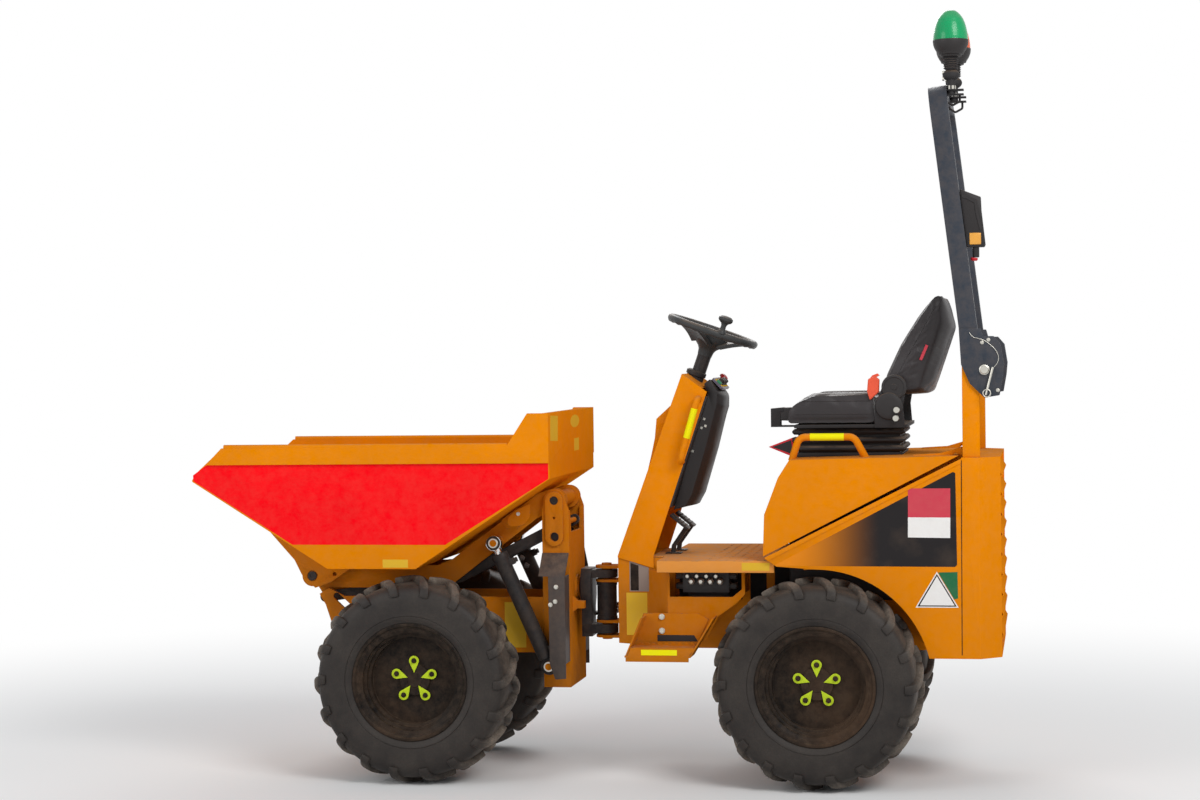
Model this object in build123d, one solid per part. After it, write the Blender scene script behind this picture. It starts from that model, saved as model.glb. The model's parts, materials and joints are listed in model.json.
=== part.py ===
"""Articulated site dumper of the one-tonne class, with a high-tip skip, drawn as its maker's sub-assemblies.

Units are millimetres. +X points forward, towards the skip, +Y to the machine's left and +Z up, from the ground.
Stations along X are measured from the middle of the wheelbase. Every piece is written out with the origin moved to
the middle of the machine's overall length. Each sub-assembly is one function, in the order in which it is built up.
"""
from build123d import *
from math import atan2, cos, degrees, hypot, radians, sin, tan
import os

# ------------------------------------------------------------------ driving dimensions
WHEELBASE = 1480
OVERALL_WIDTH = 990
TYRE_RADIUS = 380
TYRE_WIDTH = 264
NOSE_X = 1578
TAIL_X = -1408
PIN_FIT = 0.3
SHEET = 5
PLATE = 12

FRONT_X = WHEELBASE / 2
REAR_X = -WHEELBASE / 2
AXLE_Z = TYRE_RADIUS
TRACK_HALF = (OVERALL_WIDTH - TYRE_WIDTH) / 2
RAIL_CLEARANCE = 36
RAIL_HALF = TRACK_HALF - TYRE_WIDTH / 2 - RAIL_CLEARANCE
CENTRE_X = (NOSE_X + TAIL_X) / 2

# articulation
PIVOT_X = 91
ROLL_Z = 686

# mast and lift linkage: a parallelogram, so the link's lever is the same at the mast and at the carriage
MAST_REAR_X = 205
MAST_FRONT_X = 307
MAST_OUT = 150
MAST_FOOT_Z = 322
LIFT_X, LIFT_Z = 259, 1022
LASHING_Z = 886
LASHING_R = 17
TIP_X, TIP_Z = 1200, 738
LEVER_X, LEVER_Z = -28, -87
LINK_REAR = (LIFT_X + LEVER_X, LIFT_Z + LEVER_Z)
LINK_FRONT = (TIP_X + LEVER_X, TIP_Z + LEVER_Z)
LINK_ELBOW = (640, 728)

# lateral places of the linkage plates, inner face of each
CARRIAGE_IN = 50
LINK_IN = 82
ARM_IN = 112
FRAME_IN = MAST_OUT - PLATE
BRACKET_IN = MAST_OUT + 6
RAM_Y = 190

# skip
SKIP_HALF = 440
SKIP_FLOOR_Z = 789
SKIP_RIM_Z = 1240
SKIP_BACK_X = 218
SKIP_BACK_Z = 1356

# rear body
BODY_HALF = 405
DECK_Z = 1186
COVER_HINGE_X, COVER_HINGE_Z = -1246, 1206
HINGE_EYE_R = 11
ARCH_GAP = 30

# roll-over frame
ROPS_OUT = BODY_HALF - 5
ROPS_IN = ROPS_OUT - 55
HINGE_Y = ROPS_IN - 45
FOLD_X, FOLD_Z = -1341, 1494

NODES = {}


def node(name, *shapes):
    """Keep the shapes, fused where they touch, as one named piece of the machine."""
    whole = Part() + list(shapes)
    NODES[name] = whole


def side(sketch, y_in, y_out):
    """A sketch drawn in X and Z, made solid between two stations of Y."""
    return extrude(Plane.XZ.offset(-y_out) * sketch, amount=y_out - y_in, dir=(0, -1, 0))


def up(sketch, z0, z1):
    """A sketch drawn in X and Y, made solid between two heights."""
    return extrude(Pos(0, 0, z0) * sketch, amount=z1 - z0, dir=(0, 0, 1))


def poly(*points):
    return Polygon(*points, align=None)


def disc(x, z, radius):
    return Pos(x, z) * Circle(radius)


def pair(shape):
    """The shape and its mirror image on the machine's other side."""
    return Part() + [shape, mirror(shape, about=Plane.XZ)]


def pin(x, z, radius, y0, y1):
    """A round bar across the machine, from station y0 to y1."""
    return Plane.XZ * Pos(x, z, -(y0 + y1) / 2) * Cylinder(radius, y1 - y0)


def post(x, y, radius, z0, z1):
    return Pos(x, y, (z0 + z1) / 2) * Cylinder(radius, z1 - z0)


def rod_x(y, z, radius, x0, x1):
    return Plane.YZ * Pos(y, z, (x0 + x1) / 2) * Cylinder(radius, abs(x1 - x0))


def across(half, x0, x1):
    """A plate across the machine from the left half of its outline in Y and Z, with the other half mirrored."""
    outline = list(half) + [(-y, z) for y, z in reversed(half) if y > 0]
    return extrude(Plane.YZ.offset(x0) * poly(*outline), amount=x1 - x0)


def block(x0, x1, y0, y1, z0, z1):
    return Pos((x0 + x1) / 2, (y0 + y1) / 2, (z0 + z1) / 2) * Box(x1 - x0, y1 - y0, z1 - z0)


def slot_plate(start, end, radius):
    """Outline of a round-ended link between two eyes, in X and Z."""
    length = hypot(end[0] - start[0], end[1] - start[1])
    angle = degrees(atan2(end[1] - start[1], end[0] - start[0]))
    middle = Pos((start[0] + end[0]) / 2, (start[1] + end[1]) / 2)
    return middle * Rot(0, 0, angle) * SlotCenterToCenter(length, 2 * radius)


# ------------------------------------------------------------------ wheels
RIM_RADIUS = 200
FLANGE_RADIUS = 214
BEAD_HALF = 116
DISC_Y = 32
NUT_CIRCLE_R = 70
NUT_COUNT = 5
LUG_COUNT = 18
CARCASS_R = 356

# half section of the carcass: (offset from the wheel's middle, radius)
CARCASS = [(BEAD_HALF - 4, RIM_RADIUS), (TYRE_WIDTH / 2, 296), (78, CARCASS_R)]
# one lug seen from above the tread, with its outer end trailing: (around the tyre, offset)
LUG_PLAN = [(17, -8), (-17, -8), (-84, 134), (-40, 134)]
# the lug's crown across the tread: (offset, depth below the tyre's radius)
LUG_CROWN = [(-8, 0), (96, 16), (TYRE_WIDTH / 2, 60)]


def make_tyre():
    """Flat-sided carcass, one segment to each lug; the lugs of the two sides take turns."""
    step = 180 / LUG_COUNT
    section = CARCASS + [(-y, radius) for y, radius in reversed(CARCASS)]
    half = TYRE_RADIUS * tan(radians(step / 2))
    wedge = side(poly((0, 0), (-half, TYRE_RADIUS), (half, TYRE_RADIUS)), -TYRE_WIDTH, TYRE_WIDTH)
    segment = extrude(Plane.YZ * poly(*section), amount=half, both=True) & wedge
    root = CARCASS_R - 44
    crown = [(y, TYRE_RADIUS - depth) for y, depth in LUG_CROWN]
    across = poly(*crown, (crown[-1][0], root), (crown[0][0], root))
    lug = up(poly(*LUG_PLAN), root, TYRE_RADIUS) & extrude(Plane.YZ * across, amount=100, both=True)
    pieces = []
    for turn in range(2 * LUG_COUNT):
        pieces.append(Rot(0, turn * step, 0) * segment)
        pieces.append(Rot(0, turn * step, 0) * (lug if turn % 2 else mirror(lug, about=Plane.XZ)))
    return pieces[0].fuse(*pieces[1:])


# stepped dish of the wheel, outer face from the flange to the middle, then its back: (radius, offset)
DISH = [(FLANGE_RADIUS, BEAD_HALF + PIN_FIT), (FLANGE_RADIUS, 123), (202, 123), (188, 110), (186, 76), (170, 70),
        (168, 44), (156, DISC_Y), (66, DISC_Y), (58, 44), (0, 44), (0, 20), (160, 20), (174, 64), (192, 74),
        (194, BEAD_HALF), (194, BEAD_HALF + PIN_FIT)]
BARREL = [(192, -BEAD_HALF), (192, 100), (RIM_RADIUS - PIN_FIT, 100), (RIM_RADIUS - PIN_FIT, -BEAD_HALF - PIN_FIT),
          (FLANGE_RADIUS, -BEAD_HALF - PIN_FIT), (FLANGE_RADIUS, -123), (204, -123)]


def make_rim():
    dish = revolve(make_face(Polyline(*DISH, close=True)), Axis.Y)
    barrel = revolve(make_face(Polyline(*BARREL, close=True)), Axis.Y)
    nut = extrude(Plane.XZ.offset(-DISC_Y + 1) * RegularPolygon(14, 6), amount=-21)
    nuts = []
    for turn in range(NUT_COUNT):
        nuts.append(Rot(0, 90 + turn * 360 / NUT_COUNT, 0) * Pos(NUT_CIRCLE_R, 0, 0) * nut)
    return dish.fuse(barrel, *nuts)


# wheel: (name, station, side)
WHEELS = [("front_left", FRONT_X, 1), ("front_right", FRONT_X, -1),
          ("rear_left", REAR_X, 1), ("rear_right", REAR_X, -1)]


def wheels():
    tyre = make_tyre()
    rim = make_rim()
    for name, x, hand in WHEELS:
        place = Pos(x, hand * TRACK_HALF, AXLE_Z)
        node("tyre_" + name, place * (tyre if hand > 0 else mirror(tyre, about=Plane.XZ)))
        node("rim_" + name, place * (rim if hand > 0 else mirror(rim, about=Plane.XZ)))


# ------------------------------------------------------------------ axles
AXLE_TUBE_R = 45
DRUM_R = 88
HUB_R = 46
AXLE_PAD_Z = 452
BOWL_R = 104
BOWL_HALF = 80
PINION_REACH = 156


def make_axle(x, pad_y, nose_way):
    """Casing with a bolted bowl and a pinion nose, brake drums, and hubs that end just behind the wheel discs."""
    tube = pin(x, AXLE_Z, AXLE_TUBE_R, -TRACK_HALF + 60, TRACK_HALF - 60)
    bowl = revolve(make_face(Polyline((0, -BOWL_HALF), (50, -BOWL_HALF + 6), (BOWL_R, -34), (BOWL_R, 34),
                                      (50, BOWL_HALF - 6), (0, BOWL_HALF), close=True)), Axis.Y)
    bowl = Pos(x, 0, AXLE_Z) * bowl
    neck = rod_x(0, AXLE_Z, 62, x, x + nose_way * (PINION_REACH - 38))
    nose = rod_x(0, AXLE_Z, 42, x, x + nose_way * PINION_REACH)
    cover = rod_x(0, AXLE_Z, BOWL_R - 20, x, x - nose_way * (BOWL_R + 8))
    casing = (bowl + neck + nose + cover) & block(x - 170, x + 170, -120, 120, AXLE_Z - 120, AXLE_PAD_Z - 12)
    drum = pin(x, AXLE_Z, DRUM_R, TRACK_HALF - 96, TRACK_HALF - 10)
    backing = pin(x, AXLE_Z, DRUM_R + 9, TRACK_HALF - 102, TRACK_HALF - 94)
    hub = pin(x, AXLE_Z, HUB_R, TRACK_HALF - 40, TRACK_HALF + 20 - PIN_FIT)
    pad = block(x - 70, x + 70, pad_y - 45, pad_y + 8, AXLE_Z, AXLE_PAD_Z)
    return Part() + [tube, casing, pair(drum), pair(backing), pair(hub), pair(pad)]


# ------------------------------------------------------------------ front half
GUARD_Y = 228
SHOULDER_Z = 985
NOTCH_Z = 900
RAM_FOOT = (276, 407)
RAM_HEAD = (483, 866)
RAM_PIN_R = 12
RAM_BARREL_R = 29
RAM_EYE_R = 32
FRAME_TOP_Z = 660
FRAME_LOW_Z = AXLE_PAD_Z


def front_chassis():
    middle = (MAST_REAR_X + MAST_FRONT_X) / 2
    mast_side = poly((MAST_REAR_X, MAST_FOOT_Z), (MAST_FRONT_X, MAST_FOOT_Z), (MAST_FRONT_X, SHOULDER_Z),
                     (middle + 42, LIFT_Z), (middle - 38, LIFT_Z), (MAST_REAR_X, SHOULDER_Z))
    mast_side += disc(LIFT_X, LIFT_Z, 42)
    mast_side -= disc(LIFT_X, LIFT_Z, 20 + PIN_FIT) + disc(LIFT_X, LASHING_Z, LASHING_R)
    cheeks = pair(side(mast_side, FRAME_IN, MAST_OUT))
    notch_in = LINK_IN + 14 + 8
    back = across([(FRAME_IN, MAST_FOOT_Z), (FRAME_IN, SHOULDER_Z), (FRAME_IN - 14, SHOULDER_Z), (notch_in, NOTCH_Z)],
                  MAST_REAR_X, MAST_REAR_X + PLATE)
    back -= rod_x(0, ROLL_Z, 25 + PIN_FIT, MAST_REAR_X - 1, MAST_REAR_X + PLATE + 1)
    face = block(MAST_FRONT_X - PLATE, MAST_FRONT_X, -FRAME_IN, FRAME_IN, MAST_FOOT_Z, 780)
    foot = block(MAST_REAR_X + PLATE, MAST_FRONT_X - PLATE, -FRAME_IN, FRAME_IN, MAST_FOOT_Z, MAST_FOOT_Z + PLATE)
    collar = rod_x(0, ROLL_Z, 38, MAST_REAR_X - 13, MAST_REAR_X) + rod_x(0, ROLL_Z, 47, MAST_REAR_X - 6, MAST_REAR_X)
    collar -= rod_x(0, ROLL_Z, 25 + PIN_FIT, MAST_REAR_X - 14, MAST_REAR_X + 1)
    horn = poly((MAST_REAR_X, 598), (MAST_REAR_X, 656), (MAST_REAR_X - 15, 641), (MAST_REAR_X - 44, 640),
                (MAST_REAR_X - 44, 612), (MAST_REAR_X - 17, 612))
    stop = pair(side(horn, 66, 92))
    ram_pin = pair(pin(*RAM_FOOT, RAM_PIN_R, MAST_OUT, RAM_Y + 24) + pin(*RAM_FOOT, 19, RAM_Y + 17, RAM_Y + 24))
    link_pin = pin(*LINK_REAR, 10, -FRAME_IN, FRAME_IN)
    node("mast", cheeks, back, face, foot, collar, stop, ram_pin, link_pin)

    doubler = slot_plate((LIFT_X, LASHING_Z), (LIFT_X, LIFT_Z), 34)
    doubler -= disc(LIFT_X, LIFT_Z, 16) + disc(LIFT_X, LASHING_Z, LASHING_R) + disc(LIFT_X, 957, 5)
    node("mast_doublers", pair(side(doubler, MAST_OUT, MAST_OUT + PLATE)))

    cheek = poly((MAST_FRONT_X, FRAME_LOW_Z), (1080, FRAME_LOW_Z), (1132, 560), (1154, 627), (1178, 668),
                 (1140, 690), (1080, FRAME_TOP_Z), (MAST_FRONT_X, FRAME_TOP_Z))
    slot = slot_plate((1056, 610), (1110, 660), 13)
    cheek_plates = pair(side(cheek - slot, FRAME_IN, MAST_OUT))
    floor = block(MAST_FRONT_X, 1080, -FRAME_IN, FRAME_IN, FRAME_LOW_Z, FRAME_LOW_Z + 8)
    nose = block(1080 - 8, 1080, -FRAME_IN, FRAME_IN, FRAME_LOW_Z + 8, 560)
    web = block(560, 568, -FRAME_IN, FRAME_IN, FRAME_LOW_Z + 8, 620)
    node("front_frame", cheek_plates, floor, nose, web)
    node("front_axle", make_axle(FRONT_X, FRAME_IN, -1))

    outer = side(poly((207, 365), (248, 362), (268, 420), (270, 745), (207, 745)), GUARD_Y, GUARD_Y + SHEET)
    top = extrude(Plane.YZ.offset(207) * poly((GUARD_Y, 745), (GUARD_Y + SHEET, 745), (MAST_OUT + 8, 826),
                                              (MAST_OUT, 826), (MAST_OUT, 820)), amount=100)
    rear = block(207, 207 + SHEET, MAST_OUT, GUARD_Y + SHEET, 420, 745)
    node("ram_guards", pair(Part() + [outer, top, rear]))


def yoke():
    """Casting between the halves: it rolls on a pin in the mast and yaws between the rear frame's lugs."""
    spine = across([(40, 500), (40, 610), (60, 650), (60, 728), (44, 758)], 142, 182)
    boss = rod_x(0, ROLL_Z, 54, 170, 186)
    arms = []
    for z0, z1 in YOKE_ARMS:
        plan = Rectangle(84, 84, align=(Align.MIN, Align.CENTER)) + Circle(42)
        arms.append(up(Pos(PIVOT_X, 0) * plan, z0, z1))
    shaft = rod_x(0, ROLL_Z, 25, 170, MAST_REAR_X + 44)
    nut = rod_x(0, ROLL_Z, 40, MAST_REAR_X + PLATE + 3, MAST_REAR_X + 40)
    body = Part() + [spine, boss, shaft, nut] + arms
    for z0, z1 in YOKE_ARMS:
        body -= post(PIVOT_X, 0, KING_PIN_R + PIN_FIT, z0 - 1, z1 + 1)
    steer_arm = up(poly((146, -40), (180, -40), (180, -60), (STEER_HEAD[0] + 20, STEER_HEAD[1] - 18),
                        (STEER_HEAD[0] - 16, STEER_HEAD[1] - 14), (STEER_HEAD[0] - 12, STEER_HEAD[1] + 18)),
                   STEER_Z - 28, STEER_Z - 16)
    node("yoke", body, steer_arm)


# heights of the yoke's two arms, and of the rear frame's lug plates above and below each
YOKE_ARMS = [(512, 546), (722, 752)]
LUG_PLATES = [(496, 506), (552, 562), (706, 716), (758, 768)]
KING_PIN_R = 19
# steering ram, closed to its middle: foot on the rear frame, head on the yoke's arm, all at one height
STEER_FOOT = (-250, 45 - RAIL_HALF)
STEER_HEAD = (86, 63 - RAIL_HALF)
STEER_Z = 600
STEER_OUT = 80


def lift_linkage():
    arm = poly((LIFT_X + 10, LIFT_Z - 44), (330, 955), (652, 712), (700, 690), (1150, 690), (1200, 694),
               (1200, 782), (1160, 776), (720, 776), (660, 800), (330, 1045), (LIFT_X + 20, LIFT_Z + 42))
    arm += disc(LIFT_X, LIFT_Z, 44) + disc(TIP_X, TIP_Z, 44)
    arm -= disc(TIP_X, TIP_Z, 20 + PIN_FIT)
    arms = pair(side(arm, ARM_IN, ARM_IN + PLATE))
    shaft = pin(LIFT_X, LIFT_Z, 20, -MAST_OUT, MAST_OUT)
    tube = pin(LIFT_X, LIFT_Z, 30, -ARM_IN, ARM_IN)
    cross = pin(420, 942, 20, -ARM_IN, ARM_IN)
    boss = pair(pin(*RAM_HEAD, 24, ARM_IN + PLATE, RAM_Y - 16))
    patch = poly((396, 1000), (470, 946), (452, 915), (408, 912), (380, 950))
    patch = fillet(patch.vertices(), 10)
    patches = pair(side(patch, ARM_IN + PLATE, ARM_IN + PLATE + 5))
    node("lift_frame", arms, shaft, tube, cross, boss, patches)

    link = slot_plate(LINK_REAR, LINK_ELBOW, 20) + slot_plate(LINK_ELBOW, LINK_FRONT, 20)
    link -= disc(*LINK_REAR, 10 + PIN_FIT) + disc(*LINK_FRONT, 12 + PIN_FIT)
    spacer = pin(*LINK_ELBOW, 14, -LINK_IN, LINK_IN)
    node("levelling_links", pair(side(link, LINK_IN, LINK_IN + 14)), spacer)

    cheek = poly((TIP_X, TIP_Z + 34), (760, 762), (712, 712), (716, 672), (770, 668), (1060, 690), (1150, 640),
                 (1180, 640), (1230, 720)) + disc(TIP_X, TIP_Z, 38) + disc(*LINK_FRONT, 24) + disc(*RAM_B, 28)
    carriage = pair(side(cheek, CARRIAGE_IN, CARRIAGE_IN + 10))
    tip_shaft = pin(TIP_X, TIP_Z, 20, -BRACKET_IN - 6, BRACKET_IN + 6)
    link_pin = pair(pin(*LINK_FRONT, 12, CARRIAGE_IN + 10, LINK_IN + 14))
    ram_pin = pin(*RAM_B, RAM_PIN_R, -CARRIAGE_IN, CARRIAGE_IN)
    node("skip_carriage", carriage, tip_shaft, link_pin, ram_pin)


def ram_parts(foot, head, barrel_r, rod_r, eye_r, eye_half, y, drawn_out=0, port_side=0):
    """Barrel and rod of a ram that is closed, or drawn out so far: the barrel turns on its foot pin."""
    length = hypot(head[0] - foot[0], head[1] - foot[1])
    angle = degrees(atan2(head[1] - foot[1], head[0] - foot[0]))
    mouth = length - eye_r - 14 - drawn_out
    body = Pos(0, 0, (eye_r + mouth) / 2) * Cylinder(barrel_r, mouth - eye_r)
    gland = Pos(0, 0, mouth - 12) * Cylinder(barrel_r + 3, 24)
    eye = Rot(90, 0, 0) * Cylinder(eye_r, 2 * eye_half)
    neck = Pos(0, 0, eye_r / 2 + 8) * Cylinder(eye_half, eye_r)
    barrel = Part() + [body, gland, eye, neck]
    if port_side:
        for z in (eye_r + 26, mouth - 44):
            barrel += Pos(port_side * (barrel_r + 4), 0, z) * Box(20, 26, 26)
            barrel += Pos(port_side * (barrel_r + 16), 0, z) * Rot(0, 90, 0) * Cylinder(9, 20)
    barrel -= Rot(90, 0, 0) * Cylinder(RAM_PIN_R + PIN_FIT, 2 * eye_half + 2)
    barrel -= Pos(0, 0, eye_r + 20 + (mouth - eye_r) / 2) * Cylinder(rod_r + PIN_FIT, mouth - eye_r)
    rod_foot = eye_r + 24 + drawn_out
    rod = Pos(0, 0, (rod_foot + length - eye_r * 0.6) / 2) * Cylinder(rod_r, length - eye_r * 0.6 - rod_foot)
    head_eye = Pos(0, 0, length) * Rot(90, 0, 0) * Cylinder(eye_r * 0.9, 2 * eye_half)
    place = Pos(foot[0], y, foot[1]) * Rot(0, 90 - angle, 0)
    return place * barrel, place * (rod + head_eye)


RAM_B = (745, 694)
RAM_E = (1050, 748)
TIP_RAM_R = 24


def rams():
    for name, y in (("left", RAM_Y), ("right", -RAM_Y)):
        barrel, rod = ram_parts(RAM_FOOT, RAM_HEAD, RAM_BARREL_R, 16, RAM_EYE_R, 15, y, port_side=-1)
        node("lift_ram_barrel_" + name, barrel)
        node("lift_ram_rod_" + name, rod)
    barrel, rod = ram_parts(RAM_B, RAM_E, TIP_RAM_R, 13, 24, 18, 0, port_side=1)
    node("tip_ram_barrel", barrel)
    node("tip_ram_rod", rod)
    flat = Pos(0, 0, STEER_Z) * Rot(-90, 0, 0)
    barrel, rod = ram_parts(STEER_FOOT, STEER_HEAD, 22, 11, 20, 14, 0, STEER_OUT)
    node("steer_ram_barrel", flat * barrel)
    node("steer_ram_rod", flat * rod)


# ------------------------------------------------------------------ skip
RIM_BAND = 64
BAND_OUT = 12
RAIL_R = 9

# side outline of the skip from the back panel's foot, round the floor, to the lip and the rim
SKIP_SIDE = [(SKIP_BACK_X, 1118), (725, SKIP_FLOOR_Z), (1060, SKIP_FLOOR_Z), (NOSE_X, 1112), (1570, 1136),
             (1459, 1236), (372, SKIP_RIM_Z), (296, SKIP_BACK_Z), (SKIP_BACK_X, SKIP_BACK_Z)]
# the hollow: floor lines moved in by the sheet, and open above
SKIP_HOLLOW = [(SKIP_BACK_X + SHEET, 1121), (727, SKIP_FLOOR_Z + SHEET), (1058.5, SKIP_FLOOR_Z + SHEET),
               (1572, 1114), (NOSE_X + 10, 1400), (SKIP_BACK_X + SHEET, 1400)]


def skip():
    wall = SKIP_HALF - BAND_OUT
    tub = side(poly(*SKIP_SIDE), -wall, wall)
    tub -= side(poly(*SKIP_HOLLOW), -wall + SHEET, wall - SHEET)
    low = SKIP_RIM_Z - RIM_BAND
    band = poly((1459, 1236), (372, SKIP_RIM_Z), (296, SKIP_BACK_Z), (SKIP_BACK_X, SKIP_BACK_Z),
                (SKIP_BACK_X, low), (1520, low - 2))
    bands = pair(side(band, wall, SKIP_HALF))
    lip = pin(NOSE_X - 7, 1116, 7, -wall, wall)
    rails = pair(rod_x(SKIP_HALF - RAIL_R, SKIP_RIM_Z, RAIL_R, 372, 1450))
    fold = block(SKIP_BACK_X + SHEET, SKIP_BACK_X + 26, -wall + SHEET, wall - SHEET, SKIP_BACK_Z - SHEET, SKIP_BACK_Z)
    node("skip_tub", tub, bands, lip, rails, fold)

    bracket = poly((960, SKIP_FLOOR_Z), (1060, SKIP_FLOOR_Z), (1374, 983), (1372, 912), (1270, 798), (1242, 742),
                   (1190, 692), (1130, 712), (1050, 766)) + disc(TIP_X, TIP_Z, 40)
    bracket -= disc(TIP_X, TIP_Z, 20 + PIN_FIT) + disc(1112, 745, 8)
    brackets = pair(side(bracket, BRACKET_IN, BRACKET_IN + 10))
    lug = poly((1010, SKIP_FLOOR_Z), (1090, SKIP_FLOOR_Z), (1075, 735), (1050, 722), (1026, 735))
    lug -= disc(*RAM_E, 10)
    lugs = pair(side(lug, 22, 32))
    node("skip_brackets", brackets, lugs)


# ------------------------------------------------------------------ rear half
RAIL_FRONT_X = -165
RAIL_LOW_Z, RAIL_TOP_Z = 480, 660
BOX_HALF = RAIL_HALF - 17
FACE_X = 15
SILL_FRONT_X, SILL_BEND_X, SILL_REAR_X = -100, -190, -474
FLOOR_Z = 818
FLOOR_SHEET = 6
FLOOR_REAR_X, FLOOR_FRONT_X = -590, -165
FLOOR_HALF = BODY_HALF - 15
SILL_Y = FLOOR_HALF - 90
UNDER_Z = FLOOR_Z - FLOOR_SHEET
ENGINE_LOW_Z = 520


def rear_chassis():
    rails = pair(side(poly((-1250, RAIL_LOW_Z), (RAIL_FRONT_X, RAIL_LOW_Z), (RAIL_FRONT_X, RAIL_TOP_Z),
                           (-1250, RAIL_TOP_Z)), RAIL_HALF - 8, RAIL_HALF))
    box_side = poly((RAIL_FRONT_X - 35, RAIL_LOW_Z), (FACE_X, RAIL_LOW_Z + 14), (FACE_X, FLOOR_Z), (-108, FLOOR_Z),
                    (-108, UNDER_Z), (RAIL_FRONT_X - 35, UNDER_Z))
    box_sides = pair(side(box_side, BOX_HALF - 6, BOX_HALF))
    joggle = pair(block(RAIL_FRONT_X - 35, RAIL_FRONT_X, BOX_HALF, RAIL_HALF - 8, RAIL_LOW_Z, RAIL_TOP_Z))
    face = block(FACE_X - 20, FACE_X, -BOX_HALF + 6, BOX_HALF - 6, RAIL_LOW_Z + 14, FLOOR_Z)
    window = pair(block(FACE_X - 21, FACE_X + 1, 60, BOX_HALF - 18, STEER_Z - 40, STEER_Z + 40))
    ram_shelf = block(-290, -210, -RAIL_HALF + 8, STEER_FOOT[1] + 26, STEER_Z - 34, STEER_Z - 22)
    ram_pin = post(*STEER_FOOT, RAM_PIN_R, STEER_Z - 22, STEER_Z + 20)
    lugs = []
    for z0, z1 in LUG_PLATES:
        plan = Rectangle(PIVOT_X - FACE_X, 88, align=(Align.MAX, Align.CENTER)) + Circle(42)
        lugs.append(up(Pos(PIVOT_X, 0) * plan, z0, z1))
    king = post(PIVOT_X, 0, KING_PIN_R, LUG_PLATES[0][0] - 8, LUG_PLATES[3][1] + 8)
    sleeve = post(PIVOT_X, 0, 36, LUG_PLATES[1][1], LUG_PLATES[2][0])
    cross = [block(x, x + 8, -RAIL_HALF + 8, RAIL_HALF - 8, RAIL_LOW_Z, 640) for x in (-480, -1250)]
    belly = block(-1242, -480, -RAIL_HALF + 8, RAIL_HALF - 8, RAIL_LOW_Z, RAIL_LOW_Z + 6)
    seat = [block(-800, -680, y, y + 40, AXLE_PAD_Z, RAIL_LOW_Z) for y in (-RAIL_HALF, RAIL_HALF - 40)]
    foot_in, foot_out = RAIL_HALF - 95, RAIL_HALF - 45
    feet = [pair(block(x, x + 60, foot_in, foot_out, RAIL_LOW_Z + 6, ENGINE_LOW_Z)) for x in (-1150, -720)]
    bearers = [pair(block(x, x + 30, RAIL_HALF - 8, RAIL_HALF, RAIL_TOP_Z, UNDER_Z)) for x in (-570, SILL_REAR_X - 6)]
    node("rear_frame", rails, box_sides, joggle, face - window, king, sleeve, belly, ram_shelf, ram_pin,
         *lugs, *cross, *seat, *feet, *bearers)
    node("rear_axle", make_axle(REAR_X, RAIL_HALF - 8, 1))
    node("engine", block(-1180, -620, -RAIL_HALF + 35, RAIL_HALF - 35, ENGINE_LOW_Z, 1040))


def control_valve():
    """Spool block on the left rail, with its end caps and relief valves: it shows through the sill's window."""
    bracket = block(-400, -250, RAIL_HALF - 8, RAIL_HALF, RAIL_TOP_Z, 780)
    depth = SILL_Y - 39 - RAIL_HALF
    outer = RAIL_HALF + depth
    body = block(-410, -240, RAIL_HALF, outer, 692, 776)
    rows = (RAIL_HALF + depth * 3 / 11, RAIL_HALF + depth * 8 / 11)
    caps = [rod_x(y, z, depth / 6, -436, -214) for y in rows for z in (714, 750)]
    unions = [pin(x, 734, 12, outer - 6, outer + 16) for x in (-380, -345, -310, -275)]
    node("control_valve", bracket, body, *caps, *unions)


def step_and_floor():
    floor = block(FLOOR_REAR_X, FLOOR_FRONT_X, -FLOOR_HALF, FLOOR_HALF, UNDER_Z, FLOOR_Z)
    tongue = block(FLOOR_FRONT_X, -112, -BOX_HALF + 8, BOX_HALF - 8, UNDER_Z, FLOOR_Z)
    skirt = pair(block(FLOOR_REAR_X, FLOOR_FRONT_X, FLOOR_HALF - 4, FLOOR_HALF, 776, UNDER_Z))
    front = pair(block(FLOOR_FRONT_X - 4, FLOOR_FRONT_X, BOX_HALF + 8, FLOOR_HALF - 4, 776, UNDER_Z))
    node("footplate", floor, tongue, skirt, front)

    outer = SILL_Y + SHEET
    plan = poly((SILL_FRONT_X, BOX_HALF), (SILL_BEND_X, outer), (SILL_REAR_X, outer), (SILL_REAR_X, SILL_Y),
                (SILL_BEND_X - 3, SILL_Y), (SILL_FRONT_X - 6, BOX_HALF))
    outline = poly((SILL_FRONT_X + 4, 524), (SILL_FRONT_X + 4, 768), (SILL_BEND_X - 2, 768),
                   (SILL_BEND_X - 2, UNDER_Z), (SILL_REAR_X, UNDER_Z), (SILL_REAR_X, 690), (-440, 655),
                   (-376, 610), (-330, 524))
    window = poly((SILL_BEND_X - 8, 770), (SILL_BEND_X - 8, 680), (-428, 680), (-462, 708), (-462, 770))
    sill = (up(plan, 500, FLOOR_Z) & side(outline, BOX_HALF - 10, outer + 10)) - side(window, SILL_Y - 10, outer + 10)
    end = block(SILL_REAR_X, SILL_REAR_X + SHEET, RAIL_HALF, SILL_Y, 695, UNDER_Z)
    node("side_sills", pair(Part() + [sill, end]))

    tread = block(-286, -46, outer, SILL_Y + 112, 470, 476)
    front_flange = side(poly((-46, 470), (-52, 470), (-112, 612), (-106, 612)), outer, SILL_Y + 112)
    rear_flange = side(poly((-280, 470), (-286, 470), (-372, 612), (-366, 612)), outer, SILL_Y + 112)
    back = side(poly((-50, 470), (-280, 470), (-340, 600), (-300, 620), (-100, 620)), outer, SILL_Y + 9)
    lip = block(-280, -50, SILL_Y + 107, SILL_Y + 112, 455, 476)
    node("steps", pair(Part() + [tread, front_flange, rear_flange, back, lip]))


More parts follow.
